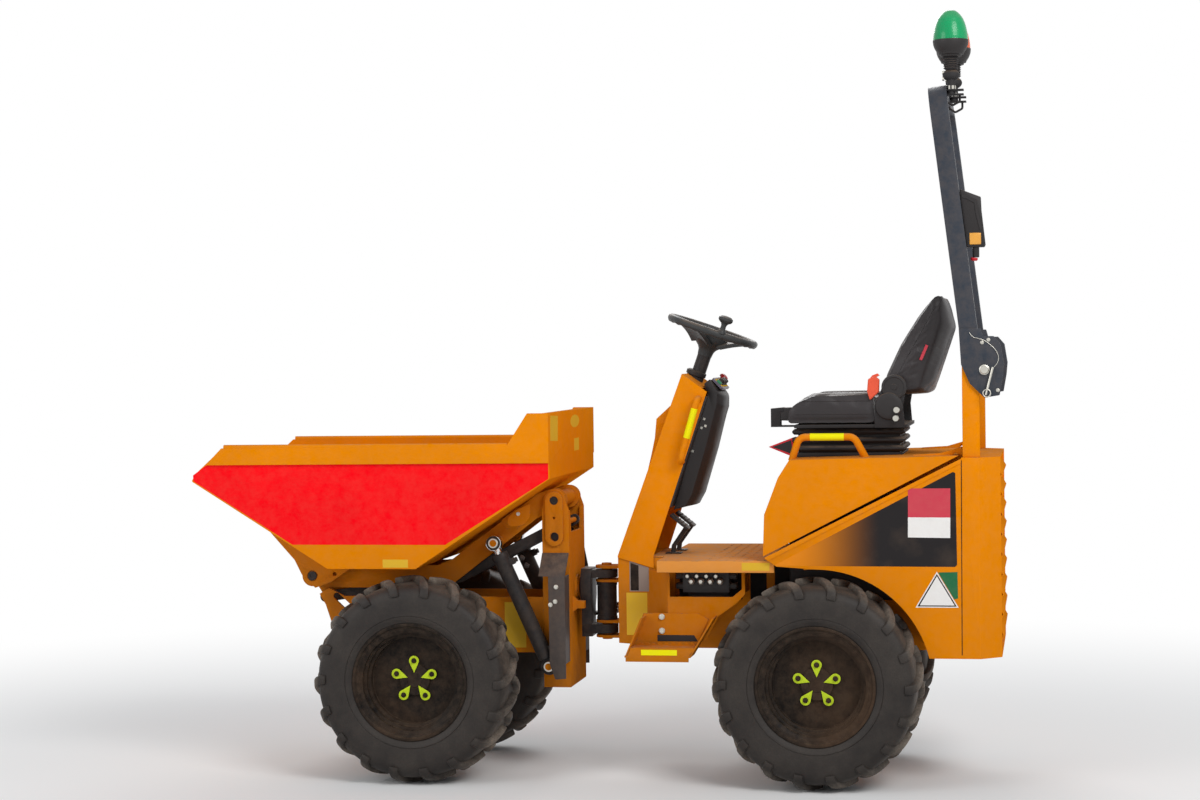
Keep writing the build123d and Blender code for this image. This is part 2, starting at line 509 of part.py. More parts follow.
# steering tower, seen from the side: foot of its face, top edges, and foot of its open rear, which laps the frame
TOWER_SIDE = [(FACE_X, FLOOR_Z - 6), (FACE_X, FLOOR_Z), (-234, 1490), (-326, 1423), (-120, FLOOR_Z), (-120, 773)]
TOWER_HALF = BOX_HALF + SHEET + 1
GRIP_STAND_OFF = 45


def tower_face_x(z):
    """Station of the tower's sloping face at a height above the floor."""
    (x0, z0), (x1, z1) = TOWER_SIDE[1:3]
    return x0 + (x1 - x0) * (z - z0) / (z1 - z0)


def steering_tower():
    inside = TOWER_HALF - SHEET
    hollow = poly((FACE_X + 1, 760), (FACE_X + 1, FLOOR_Z), (FACE_X - 5, FLOOR_Z), (-240, 1446), (-400, 1423),
                  (-190, 810), (-190, 760))
    profile = side(poly(*TOWER_SIDE), -TOWER_HALF, TOWER_HALF)
    shell = profile - side(hollow, -inside, inside)
    bulge = poly((tower_face_x(1387), 1387), (-125, 1323), (-118, 1252), (-104, 1188), (tower_face_x(1040), 1040))
    bulge = side(bulge, -108, 108)
    node("steering_tower", shell - column_body(PIN_FIT), bulge - profile, pair(tower_handle()))

    case = poly((-188, 985), (-318, 1400), (-308, 1452), (-334, 1467), (-390, 1437), (-389, 1396), (-376, 1344),
                (-338, 1209), (-286, 1043), (-262, 1000))
    case = fillet(case.vertices().sort_by(Axis.X)[:4], 9)
    console = side(case, -120, 120)
    cover = side(poly((-182, 1000), (-320, 1405), (-326, 1403), (-188, 998)), -TOWER_HALF, TOWER_HALF)
    node("console", (console + cover) - profile - column_body(2))

    pads = [pedal(y) for y in (-105, 35)]
    node("pedals", *pads)


def tower_handle():
    """Grab tube outside the tower's sheet, along its rear edge."""
    out = TOWER_HALF + GRIP_STAND_OFF
    path = FilletPolyline((-296, TOWER_HALF, 1398), (-296, out, 1398), (-230, out, 1168), (-230, TOWER_HALF, 1168),
                          radius=24)
    return sweep(Plane(path @ 0, z_dir=path % 0) * Circle(12), path=path)


def pedal(y):
    """Foot pad on a bent arm that stands on the floor."""
    pad = side(poly((-173, 967), (-239, 914), (-234, 907), (-168, 960)), y, y + 70)
    bent = poly((-234, 910), (-222, 922), (-172, 850), (-168, FLOOR_Z), (-184, FLOOR_Z), (-187, 845))
    arm = side(bent, y + 25, y + 45)
    foot = block(-208, -150, y + 12, y + 58, FLOOR_Z, FLOOR_Z + 5)
    return Part() + [pad, arm, foot]


# louvres of the grille: crest and root of their saw-toothed section, pitch and rows
LOUVRE_CREST_X, LOUVRE_ROOT_X = -1400, -1379
LOUVRE_PITCH = 71
LOUVRE_ROWS = 9
GRILLE_HALF = BODY_HALF - 71
CORNER_X = -1319
REAR_X_END = -1392


def rear_body():
    arch_r = TYRE_RADIUS + ARCH_GAP
    panel = poly((-556, 831), (-600, 800), (-740, 790), (-740, 476), (-1256, 476), (-1256, 1182))
    panel -= disc(REAR_X, AXLE_Z, arch_r)
    panels = pair(side(panel, BODY_HALF - SHEET, BODY_HALF))
    seam = pair(side(poly((-570, 820), (-1256, 1166), (-1256, 1182), (-558, 831)), BODY_HALF, BODY_HALF + 3))
    arch = (disc(REAR_X, AXLE_Z, arch_r + 4) - disc(REAR_X, AXLE_Z, arch_r)) & poly(
        (-740, 500), (-1256, 500), (-1256, 900), (-640, 900), (-700, 785))
    liners = pair(side(arch, RAIL_HALF, BODY_HALF - SHEET))
    inner = BODY_HALF - SHEET
    corner = poly((-1256, BODY_HALF), (CORNER_X, BODY_HALF), (REAR_X_END, GRILLE_HALF + 6), (REAR_X_END, GRILLE_HALF),
                  (REAR_X_END + 16, GRILLE_HALF), (REAR_X_END + 16, GRILLE_HALF + SHEET), (CORNER_X + 2, inner),
                  (-1256, inner))
    corners = pair(up(corner, 476, DECK_Z))
    top = poly((-1256, BODY_HALF), (CORNER_X, BODY_HALF), (REAR_X_END, GRILLE_HALF + 6), (REAR_X_END, 0), (-1256, 0))
    shelf = pair(up(top, DECK_Z - 6, DECK_Z))
    rail = block(REAR_X_END, REAR_X_END + 16, -GRILLE_HALF, GRILLE_HALF, 476, 500)
    knuckle = slot_plate((COVER_HINGE_X - 34, DECK_Z + 9), (COVER_HINGE_X, COVER_HINGE_Z), HINGE_EYE_R)
    knuckles = [pair(side(knuckle, y, y + 10)) for y in (HINGE_Y - 26, HINGE_Y + 16)]
    hinge_pin = pair(pin(COVER_HINGE_X, COVER_HINGE_Z, 6, HINGE_Y - 26, HINGE_Y + 26))
    node("rear_body", panels, seam, liners, corners, shelf, rail, hinge_pin, *knuckles)
    node("rear_grille", rear_grille())


def rear_grille():
    """Saw-toothed sheet between the corners, with a row of vents in the under side of each tooth."""
    low = 500
    half = LOUVRE_PITCH / 2
    section = [(LOUVRE_ROOT_X, low)]
    for row in range(LOUVRE_ROWS):
        crest = low + 20 + (row + 0.5) * LOUVRE_PITCH
        section += [(LOUVRE_CREST_X, crest), (LOUVRE_ROOT_X, crest + half)]
    section.append((LOUVRE_ROOT_X, DECK_Z - 6))
    back = [(x + 5, z) for x, z in reversed(section)]
    sheet = side(poly(*section, *back), -GRILLE_HALF, GRILLE_HALF)
    vents = []
    for row in range(LOUVRE_ROWS):
        z = low + 20 + (row + 0.25) * LOUVRE_PITCH
        for column in range(4):
            vents.append(Pos(LOUVRE_ROOT_X - 8, (column - 1.5) * 160, z) * Box(24, 126, 15))
    return sheet - vents


# the cover seen from the side: its flank ends at the slanting seam between the first point and the last
COVER_LINE = [(-552, 836), (-558, 985), (-609, 1117), (-650, 1180), (-1246, 1192)]
COVER_SIDE = poly(*COVER_LINE, (-1246, 830))


def engine_cover():
    outer = poly(*COVER_LINE)
    inner = poly((-557, 830), (-563, 985), (-613, 1114), (-652, 1175), (-1246, 1187), (-1260, 1170), (-900, 900))
    shell = side(outer, -BODY_HALF, BODY_HALF) - side(inner, -BODY_HALF + SHEET, BODY_HALF - SHEET)
    strap = poly((-1084, 1180), (-1084, 1193), (-1180, 1198), (COVER_HINGE_X, COVER_HINGE_Z + HINGE_EYE_R),
                 (COVER_HINGE_X, COVER_HINGE_Z), (-1215, 1188))
    strap += disc(COVER_HINGE_X, COVER_HINGE_Z, HINGE_EYE_R)
    strap -= disc(COVER_HINGE_X, COVER_HINGE_Z, 6 + PIN_FIT)
    straps = pair(side(strap, HINGE_Y - 14, HINGE_Y + 14)) - side(outer, -BODY_HALF, BODY_HALF)
    node("engine_cover", shell, straps)
    node("deck_handles", pair(deck_handle()) - side(COVER_SIDE, -BODY_HALF, BODY_HALF))


def deck_handle():
    path = FilletPolyline((-648, HINGE_Y, 1172), (-676, HINGE_Y, 1258), (-874, HINGE_Y, 1258), (-918, HINGE_Y, 1176),
                          radius=34)
    return sweep(Plane(path @ 0, z_dir=path % 0) * Circle(13), path=path)


SEAT_REAR_X, SEAT_FRONT_X = -1046, -640
SEAT_HALF = 235
PAN_Z = 1300
PAN_SHEET = 12
BELLOWS_LOW_Z = 1196
BELLOWS_FOLDS = 3
RECLINER_X, RECLINER_Z = -1015, 1434


def seat():
    top = PAN_Z - PAN_SHEET
    base = block(SEAT_REAR_X + 6, SEAT_FRONT_X - 12, -180, 180, 1170, BELLOWS_LOW_Z)
    base -= side(COVER_SIDE, -181, 181)
    core = block(SEAT_REAR_X + 16, SEAT_FRONT_X - 20, -172, 172, BELLOWS_LOW_Z, top)
    rise = (top - BELLOWS_LOW_Z) / BELLOWS_FOLDS
    folds = []
    for fold in range(BELLOWS_FOLDS):
        z = BELLOWS_LOW_Z + fold * rise
        ring = block(SEAT_REAR_X, SEAT_FRONT_X, -192, 192, z + 5, z + rise - 5)
        folds.append(chamfer(ring.edges().filter_by(Plane.XY), 7))
    pan = block(-1060, SEAT_FRONT_X - 12, -SEAT_HALF - 2, SEAT_HALF + 2, top, PAN_Z)
    housing = disc(-996, 1366, 50) + disc(RECLINER_X, RECLINER_Z, 45)
    housing += poly((-1052, top), (-944, top), (-944, 1366), (-972, 1434), (-1058, 1434), (-1046, 1366))
    brackets = pair(side(housing, SEAT_HALF + 2, SEAT_HALF + 11))
    pivots = pair(pin(RECLINER_X, RECLINER_Z, 14, SEAT_HALF - 10, SEAT_HALF + 2))
    tongue = block(SEAT_FRONT_X - 12, -570, 95, 145, top + 2, top + 8)
    bail = poly((-557, top + 2), (-592, top + 2), (-592, 1345), (-604, 1347), (-604, 1362), (-557, 1358))
    lever = side(bail, 95, 145)
    node("seat_suspension", base, core, pan, brackets, pivots, tongue, lever, *folds)

    middle = poly((-956, PAN_Z), (-956, 1400), (-690, 1400), (-636, 1372), (-616, 1330), (-622, PAN_Z))
    cushion = fillet(middle.vertices().sort_by(Axis.X)[-4:-1], 12)
    bolster = poly((-950, PAN_Z), (-950, 1416), (-720, 1414), (-650, 1384), (-626, 1350), (-628, PAN_Z))
    sides = pair(side(fillet(bolster.vertices(), 10), 160, SEAT_HALF))
    node("seat_cushion", side(cushion, -160, 160), sides)
    front = [(-986, 1408), (-978, 1446), (-988, 1481), (-1040, 1589), (-1102, 1686), (-1160, 1762)]
    rear = [(-1185, 1769), (-1210, 1747), (-1214, 1700), (-1227, 1652), (-1142, 1404), (-1079, 1400)]
    back = side(poly(*front, *rear), -SEAT_HALF + 10, SEAT_HALF - 10)
    node("seat_back", fillet(back.edges().filter_by(Axis.Y).sort_by(Axis.Z)[-4:], 12))


HOOP_HALF_DEPTH = 32
LAMP_LOW_Z = 1925


def rops():
    posts = pair(block(-1322, -1262, POST_IN, POST_OUT, DECK_Z, 1600))
    ear = side(poly((-1322, 1450), (-1322, 1540), (FOLD_X, FOLD_Z + 28), (FOLD_X, FOLD_Z - 28))
               + disc(FOLD_X, FOLD_Z, 28), POST_IN + 10, POST_OUT - 10)
    bolt = pin(FOLD_X, FOLD_Z, 10, ROPS_IN - 6, ROPS_OUT + 14)
    node("rops_posts", posts, pair(ear), pair(bolt))

    cheek = poly((-1253, 1640), (-1260, 1513), (-1290, 1446), (-1340, 1396), (-1392, 1404), (-1404, 1470),
                 (TAIL_X, 1514), (-1397, 1584), (-1373, 1612), (-1336, 1612), (-1328, 1640))
    cheek -= disc(FOLD_X, FOLD_Z, 10 + PIN_FIT)
    outer = side(cheek, ROPS_OUT, ROPS_OUT + 6)
    inner = side(cheek, ROPS_IN - 6, ROPS_IN)
    lock_pin = pin(-1350, 1416, 9, ROPS_OUT + 6, ROPS_OUT + 22)
    leg = (ROPS_IN + ROPS_OUT) / 2
    tube = ROPS_OUT - ROPS_IN
    outline = Rectangle(2 * leg + tube, HOOP_LENGTH, align=(Align.CENTER, Align.MIN))
    gap = Rectangle(2 * leg - tube, HOOP_LENGTH - tube, align=(Align.CENTER, Align.MIN))
    outline = fillet(outline.vertices().group_by(Axis.Y)[-1], 120)
    gap = fillet(gap.vertices().group_by(Axis.Y)[-1], 120 - tube)
    hoop = extrude(HOOP_PLANE * (outline - gap), amount=HOOP_HALF_DEPTH, both=True)
    node("rops_hoop", hoop, pair(outer), pair(inner), pair(lock_pin))
    case = poly((-1262, 2130), (-1291, 2118), (-1334, 2101), (-1336, 2054), (-1349, 1933), (-1345, LAMP_LOW_Z),
                (-1250, LAMP_LOW_Z))
    holder = side(case, ROPS_IN + 8, ROPS_OUT - 8)
    knob = post(-1315, leg, 12, LAMP_LOW_Z - 36, LAMP_LOW_Z)
    node("lamp_holder", holder - hoop, knob)
    node("marker_lamp", block(-1334, -1294, ROPS_OUT - 8, ROPS_OUT - 1, LAMP_LOW_Z + 9, LAMP_LOW_Z + 50))


POST_IN = ROPS_IN + 4
POST_OUT = ROPS_OUT - 6
HOOP_LENGTH = 892
HOOP_PLANE = Plane(origin=(-1288, 0, 1617), x_dir=(0, 1, 0), z_dir=(1, 0, -0.12))

# steering wheel: middle of its rim, and how far its axis leans back
WHEEL_X, WHEEL_Z = -326, 1648
WHEEL_LEAN = 19.6
WHEEL_R = 163
GRIP_R = 13
HUB_DROP = 66


def column_body(grow=0):
    """The steering column's tube, below the wheel's hub, made larger by the clearance round it."""
    place = Pos(WHEEL_X, 0, WHEEL_Z) * Rot(0, -WHEEL_LEAN, 0)
    return place * Pos(0, 0, -65.3 - 110) * Cylinder(26 + grow, 220 + 2 * grow)


def turned(*section):
    """A solid turned about Z from (radius, height) points."""
    return revolve(Plane.XZ * make_face(Polyline(*section, close=True)), Axis.Z)


def steering_wheel():
    """Dished wheel: eight-sided grip, three spokes that run down to the hub, and a spinner knob."""
    place = Pos(WHEEL_X, 0, WHEEL_Z) * Rot(0, -WHEEL_LEAN, 0)
    grip = turned(*[(WHEEL_R + GRIP_R * cos(radians(a)), GRIP_R * sin(radians(a))) for a in range(22, 382, 45)])
    hub = turned((0, -HUB_DROP + 1), (34, -HUB_DROP + 1), (38, -HUB_DROP + 20), (30, -30), (0, -26))
    spoke = Pos(0, 13, 0) * side(poly((20, -52), (28, -34), (WHEEL_R - 4, 5), (WHEEL_R - 2, -6), (60, -52)), -26, 0)
    spokes = [Rot(0, 0, turn * 120) * spoke for turn in range(3)]
    knob = turned((0, 6), (9, 6), (9, 34), (21, 40), (27, 48), (22, 57), (0, 60))
    knob = Rot(0, 0, 109) * Pos(WHEEL_R, 0, 0) * knob
    node("steering_wheel", place * (Part() + [grip, hub, knob] + spokes))
    node("steering_column", column_body())


BEACON_X = -1232
BEACON_TOP_Z = 2773
BEACON_BASE_Z = 2676


def beacons():
    """Two flashing beacons on rubber stems, each on a pair of clamp plates behind the hoop, with its lead."""
    for name, y in (("beacon", HINGE_Y), ("amber_beacon", 40)):
        z = BEACON_BASE_Z
        base = turned((0, z), (60, z), (61, z - 24), (41, z - 60), (0, z - 60))
        stem = post(BEACON_X, y, 23, z - 114, z - 60) + post(BEACON_X, y, 15, 2468, z - 114)
        plates = [block(-1276, -1196, y - 19, y + 19, level, level + 5) for level in (2468, 2484)]
        path = FilletPolyline((-1262, y, 2470), (-1262, y, 2446), (-1236, y, 2432), (-1212, y, 2450), radius=9)
        lead = sweep(Plane(path @ 0, z_dir=path % 0) * Circle(4), path=path)
        mount = Part() + [Pos(BEACON_X, y, 0) * base, stem, lead] + plates
        node(name + "_mount", mount - NODES["rops_hoop"])
        dome = [(59, z), (57, z + 36), (50, z + 66), (34, z + 89), (22, BEACON_TOP_Z)]
        lens = turned((0, z), *dome, (0, BEACON_TOP_Z))
        node(name + "_lens", Pos(BEACON_X, y, 0) * lens)


wheels()
front_chassis()
yoke()
lift_linkage()
rams()
skip()
rear_chassis()
control_valve()
step_and_floor()
steering_tower()
rear_body()
engine_cover()
seat()
rops()
steering_wheel()
beacons()

os.makedirs("parts", exist_ok=True)
for name, shape in NODES.items():
    export_step(Pos(-CENTRE_X, 0, 0) * shape, f"parts/{name}.step")
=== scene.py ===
"""Finishes, tyres, seat and small fittings of the articulated site dumper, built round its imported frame.

Metres throughout, in the machine's own frame: +X points forward to the skip, +Y to the machine's left and +Z up.
"""
import json
from math import acos, atan2, cos, hypot, pi, radians, sin

import bpy
from mathutils import Matrix, Vector


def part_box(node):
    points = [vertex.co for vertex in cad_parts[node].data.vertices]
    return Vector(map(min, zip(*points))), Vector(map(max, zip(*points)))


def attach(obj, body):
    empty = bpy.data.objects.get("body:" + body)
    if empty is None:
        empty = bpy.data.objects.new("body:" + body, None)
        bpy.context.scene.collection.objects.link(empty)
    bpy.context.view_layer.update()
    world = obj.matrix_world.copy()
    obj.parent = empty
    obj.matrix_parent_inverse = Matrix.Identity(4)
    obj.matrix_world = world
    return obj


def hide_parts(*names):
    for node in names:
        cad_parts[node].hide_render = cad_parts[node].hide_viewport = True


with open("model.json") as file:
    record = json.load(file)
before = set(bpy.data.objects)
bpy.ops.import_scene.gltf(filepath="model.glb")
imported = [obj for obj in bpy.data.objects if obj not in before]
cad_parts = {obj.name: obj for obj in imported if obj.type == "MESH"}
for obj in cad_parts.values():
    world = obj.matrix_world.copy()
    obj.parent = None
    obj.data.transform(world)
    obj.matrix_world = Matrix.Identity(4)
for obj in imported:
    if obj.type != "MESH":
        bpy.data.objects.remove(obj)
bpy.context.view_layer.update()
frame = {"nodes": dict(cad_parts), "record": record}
scene = bpy.context.scene
body_of_node = {node: body for body, nodes in frame["record"]["behaviour"]["bodies"].items() for node in nodes}

# ---------------------------------------------------------------- studio
# A pale floor that fades into a white surround, two large soft lamps and a dim sky. The camera stands at the
# machine's left at a tall person's eye height, a little behind the middle and turned slightly forward.
CAMERA_PLACE = Vector((-1.6526, 8.914, 1.580))
CAMERA_LENS = 71.9
CAMERA_YAW = radians(10.646)
CAMERA_PITCH = radians(1.182)
CAMERA_ROLL = -0.01387
FLOOR_HALF = 40.0
SKY_STRENGTH = 0.42


def linear(code):
    """Turns an sRGB hex value into the linear colour that a shader works in."""
    parts = [int(code[i:i + 2], 16) / 255 for i in (1, 3, 5)]
    return [v / 12.92 if v <= 0.04045 else ((v + 0.055) / 1.055) ** 2.4 for v in parts] + [1.0]


def add(tree, kind, settings=None, inputs=None):
    """Adds one shader node with its settings, and sets or links its inputs by name or number."""
    node = tree.nodes.new(kind)
    for name, value in (settings or {}).items():
        setattr(node, name, value)
    for name, value in (inputs or {}).items():
        if isinstance(value, bpy.types.NodeSocket):
            tree.links.new(value, node.inputs[name])
        else:
            node.inputs[name].default_value = value
    return node


def ramp(tree, value, low=0.0, high=1.0, to_low=0.0, to_high=1.0, **settings):
    """A value carried from one range to another and held inside it."""
    return add(tree, "ShaderNodeMapRange", settings, {"Value": value, "From Min": low, "From Max": high,
                                                      "To Min": to_low, "To Max": to_high}).outputs[0]


def calc(tree, operation, *values):
    """One sum of two or three values."""
    return add(tree, "ShaderNodeMath", {"operation": operation}, dict(enumerate(values))).outputs[0]


def fresh(owner):
    """An emptied node tree of a new material or world."""
    owner.use_nodes = True
    owner.node_tree.nodes.clear()
    return owner.node_tree


def only(piece):
    """Leaves one object selected and active, in object mode."""
    if bpy.context.mode != "OBJECT":
        bpy.ops.object.mode_set(mode="OBJECT")
    bpy.ops.object.select_all(action="DESELECT")
    piece.select_set(True)
    bpy.context.view_layer.objects.active = piece
    return piece


def primitive(adder, name, **settings):
    """Adds a primitive by itself, under its own name."""
    bpy.ops.object.select_all(action="DESELECT")
    adder(**settings)
    piece = bpy.context.object
    piece.name = name
    return piece


def linked(name, data):
    """A new object in the scene."""
    piece = bpy.data.objects.new(name, data)
    scene.collection.objects.link(piece)
    return piece


scene.view_settings.view_transform = "Standard"
floor = primitive(bpy.ops.mesh.primitive_plane_add, "studio_floor", size=2 * FLOOR_HALF)
floor_paint = bpy.data.materials.new("studio_floor_paint")
tree = fresh(floor_paint)
spot = add(tree, "ShaderNodeTexCoord").outputs["Object"]
reach = add(tree, "ShaderNodeVectorMath", {"operation": "LENGTH"}, {0: spot}).outputs["Value"]
fade = ramp(tree, reach, 1.9, 5.5, interpolation_type="SMOOTHSTEP")
matte = add(tree, "ShaderNodeBsdfDiffuse", None, {"Color": linear("#F4F4F3")}).outputs[0]
white = add(tree, "ShaderNodeEmission", None, {"Color": (1, 1, 1, 1), "Strength": 1.0}).outputs[0]
mixed = add(tree, "ShaderNodeMixShader", None, {0: fade, 1: matte, 2: white}).outputs[0]
add(tree, "ShaderNodeOutputMaterial", None, {"Surface": mixed})
floor.data.materials.append(floor_paint)

world = bpy.data.worlds.new("studio_sky")
scene.world = world
tree = fresh(world)
path = add(tree, "ShaderNodeLightPath")
clear = calc(tree, "MAXIMUM", path.outputs["Is Camera Ray"], path.outputs["Is Transmission Ray"])
seen = calc(tree, "MAXIMUM", clear, path.outputs["Is Glossy Ray"])
sky = add(tree, "ShaderNodeBackground", None, {"Color": linear("#F2F5FA"), "Strength": SKY_STRENGTH}).outputs[0]
white = add(tree, "ShaderNodeBackground", None, {"Color": (1, 1, 1, 1), "Strength": 1.0}).outputs[0]
mixed = add(tree, "ShaderNodeMixShader", None, {0: seen, 1: sky, 2: white}).outputs[0]
add(tree, "ShaderNodeOutputWorld", None, {"Surface": mixed})

# lamp: (name, place, size, power); each points at the machine's middle
LAMPS = [("key", (-4.5, 5.2, 5.6), 3.2, 300), ("fill", (4.6, 5.4, 3.6), 3.6, 130), ("back", (0.5, -5.5, 5.5), 4.0, 180)]
for name, place, size, power in LAMPS:
    lamp = bpy.data.lights.new("lamp_" + name, "AREA")
    lamp.size = size
    lamp.energy = power
    holder = linked("lamp_" + name, lamp)
    holder.location = place
    holder.rotation_euler = (Vector((-0.1, 0, 0.8)) - Vector(place)).to_track_quat("-Z", "Y").to_euler()

ahead = Vector((sin(CAMERA_YAW) * cos(CAMERA_PITCH), -cos(CAMERA_YAW) * cos(CAMERA_PITCH), -sin(CAMERA_PITCH)))
level = ahead.cross(Vector((0, 0, 1))).normalized()
upright = level.cross(ahead)
right = level * cos(CAMERA_ROLL) + upright * sin(CAMERA_ROLL)
top = right.cross(ahead)
camera_data = bpy.data.cameras.new("camera")
camera_data.lens = CAMERA_LENS
camera_data.sensor_width = 36.0
camera = linked("camera", camera_data)
camera.matrix_world = Matrix.Translation(CAMERA_PLACE) @ Matrix((right, top, -ahead)).transposed().to_4x4()
scene.camera = camera

# ---------------------------------------------------------------- painted steelwork
# Sheet and plate steel, cut, folded and welded, then sprayed with two-pack enamel that work has dulled. It has faint
# orange peel; a pale film on what faces up is road dust and painted sheen, mud clings low down, and edges that are
# knocked have lost their paint.
ORANGE = "#E38400"
BLACK = "#26272A"
DARK_GREY = "#4A4442"
PEEL_SIZE = 0.004
# DUST is the tan of road dust; on the enamel's top faces its film also stands for painted sheen of the sky
DUST = "#B4967A"
MUD = "#5E4735"
BARE = "#5B4E44"


def noise(tree, spot, scale, detail, rough=0.5):
    """Soft procedural noise over the places of a surface."""
    return add(tree, "ShaderNodeTexNoise", None, {"Vector": spot, "Scale": scale, "Detail": detail,
                                                  "Roughness": rough}).outputs["Fac"]


def blend(tree, share, first, second):
    """The first colour with a share of the second over it."""
    return add(tree, "ShaderNodeMix", {"data_type": "RGBA"}, {"Factor": share, 6: first, 7: second}).outputs[2]


def shaded(tree, colour, value):
    """A colour made lighter or darker."""
    return add(tree, "ShaderNodeHueSaturation", None, {"Color": colour, "Value": value}).outputs[0]


def bumpy(tree, height, strength, distance):
    """A normal tilted by a height."""
    return add(tree, "ShaderNodeBump", None, {"Strength": strength, "Distance": distance, "Height": height}).outputs[0]


def finished(material, tree, **inputs):
    """Closes a material with one principled shader; underscores in the names stand for spaces."""
    shader = add(tree, "ShaderNodeBsdfPrincipled", None, {name.replace("_", " "): v for name, v in inputs.items()})
    add(tree, "ShaderNodeOutputMaterial", None, {"Surface": shader.outputs[0]})
    return material


def painted(name, colour, dust=0.4, mud=0.5, wear=0.5, rough=0.34, shine=0.0):
    """Sprayed enamel with a pale film on top faces that is dust and painted sheen, mud low down and bare steel at
    knocked edges.
    """
    material = bpy.data.materials.new(name)
    tree = fresh(material)
    place = add(tree, "ShaderNodeTexCoord")
    spot = place.outputs["Object"]
    facing = add(tree, "ShaderNodeSeparateXYZ", None, {0: place.outputs["Normal"]}).outputs["Z"]
    height = add(tree, "ShaderNodeSeparateXYZ", None, {0: spot}).outputs["Z"]
    cloudy = noise(tree, spot, 3.1, 6.0, 0.6)
    fine = noise(tree, spot, 34.0, 5.0, 0.7)
    # sun and washing have left the enamel a little uneven
    tone = ramp(tree, cloudy, 0.3, 0.7, 0.93, 1.05)
    enamel = shaded(tree, linear(colour), tone)
    # dust and painted sheen: a pale film, most on faces that look up, patchy
    upward = ramp(tree, facing, 0.45, 0.95, 0.06, dust)
    patchy = ramp(tree, fine, 0.32, 0.62)
    film = calc(tree, "MULTIPLY", upward, patchy)
    dusty = blend(tree, film, enamel, linear(DUST))
    # mud: thickest below the axles
    low = ramp(tree, height, 1.0, 0.25, 0.0, mud)
    blots = ramp(tree, cloudy, 0.42, 0.66)
    caked = calc(tree, "MULTIPLY", low, blots)
    muddy = blend(tree, caked, dusty, linear(MUD))
    # wear: where the rounded normal leaves the true one, an edge is near
    rounded = add(tree, "ShaderNodeBevel", {"samples": 4}, {"Radius": 0.0035}).outputs["Normal"]
    true = add(tree, "ShaderNodeNewGeometry").outputs["Normal"]
    agree = add(tree, "ShaderNodeVectorMath", {"operation": "DOT_PRODUCT"}, {0: rounded, 1: true}).outputs["Value"]
    edge = ramp(tree, agree, 0.985, 0.90, 0.0, wear)
    chipped = ramp(tree, fine, 0.52, 0.6)
    lost = calc(tree, "MULTIPLY", edge, chipped)
    final = blend(tree, lost, muddy, linear(BARE))
    dull = calc(tree, "MAXIMUM", film, caked)
    gloss = ramp(tree, dull, high=0.5, to_low=rough, to_high=0.85)
    peel = noise(tree, spot, 1 / PEEL_SIZE, 1.0)
    return finished(material, tree, Base_Color=final, Roughness=gloss, Normal=bumpy(tree, peel, 0.06, 0.0006),
                    IOR=1.5, Specular_IOR_Level=shine)


orange_paint = painted("orange_enamel", ORANGE, dust=0.35, mud=0.2, wear=0.35)
# the chassis enamel: darker than the bodywork's as painted shade, and more soiled
orange_chassis_shaded = painted("orange_enamel_soiled_and_shaded", "#C87407", dust=0.45, mud=0.85, wear=0.8, rough=0.45)
# the steps' and sills' enamel: darker still as painted shade under the deck, with mud and scuffed edges
orange_step_shaded = painted("orange_enamel_scuffed_and_shaded", "#C47005", dust=0.35, mud=0.5, wear=0.8, rough=0.45)
black_paint = painted("black_enamel", BLACK, dust=0.25, mud=0.5, wear=0.25, rough=0.38, shine=0.14)
grey_paint = painted("grey_brown_enamel", DARK_GREY, dust=0.3, mud=0.5, wear=0.3, rough=0.5, shine=0.1)


OUTWARD = (bpy.ops.mesh.normals_make_consistent, {"inside": False})


def edit(piece, *steps):
    """Runs mesh operators one after another, each on the whole of a piece."""
    if bpy.context.mode != "EDIT_MESH":
        only(piece)
        bpy.ops.object.mode_set(mode="EDIT")
    for operator, settings in steps:
        bpy.ops.mesh.select_all(action="SELECT")
        operator(**settings)
    bpy.ops.object.mode_set(mode="OBJECT")


def modify(piece, kind, **settings):
    """Adds one modifier and applies it."""
    only(piece)
    modifier = piece.modifiers.new(kind.lower(), kind)
    for name, value in settings.items():
        setattr(modifier, name, value)
    bpy.ops.object.modifier_apply(modifier=modifier.name)


def bevel(piece, width, segments=2, angle=None, **settings):
    """Rounds a piece's edges, or only those that turn by more than an angle."""
    if angle:
        settings.update(limit_method="ANGLE", angle_limit=radians(angle))
    modify(piece, "BEVEL", width=width, segments=segments, **settings)


def smooth(piece, sharp=32):
    """Shades a piece smooth between its sharp edges."""
    only(piece)
    bpy.ops.object.shade_smooth_by_angle(angle=radians(sharp))


def whole(name, node):
    """A copy of a node, its loose triangles joined into whole faces."""
    piece = linked(name, frame["nodes"][node].data.copy())
    edit(piece, (bpy.ops.mesh.remove_doubles, {"threshold": 0.00002}),
         (bpy.ops.mesh.dissolve_limited, {"angle_limit": radians(0.4)}))
    return piece


def fit(piece, material, body, slot, *nodes):
    """Gives a piece its finish and the body that it rides, and hides the plain solids that it stands for."""
    piece.data.materials.clear()
    piece.data.materials.append(material)
    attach(piece, body)
    if nodes:
        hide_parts(*nodes)
    return piece


def dressed(node, material, slot, edge=0.0012, sharp=32):
    """A copy of a node with whole faces and slightly rounded edges, which stands for it."""
    piece = whole(node + "_finished", node)
    bevel(piece, edge, angle=35, use_clamp_overlap=True)
    smooth(piece, sharp)
    return fit(piece, material, body_of_node[node], slot, node)
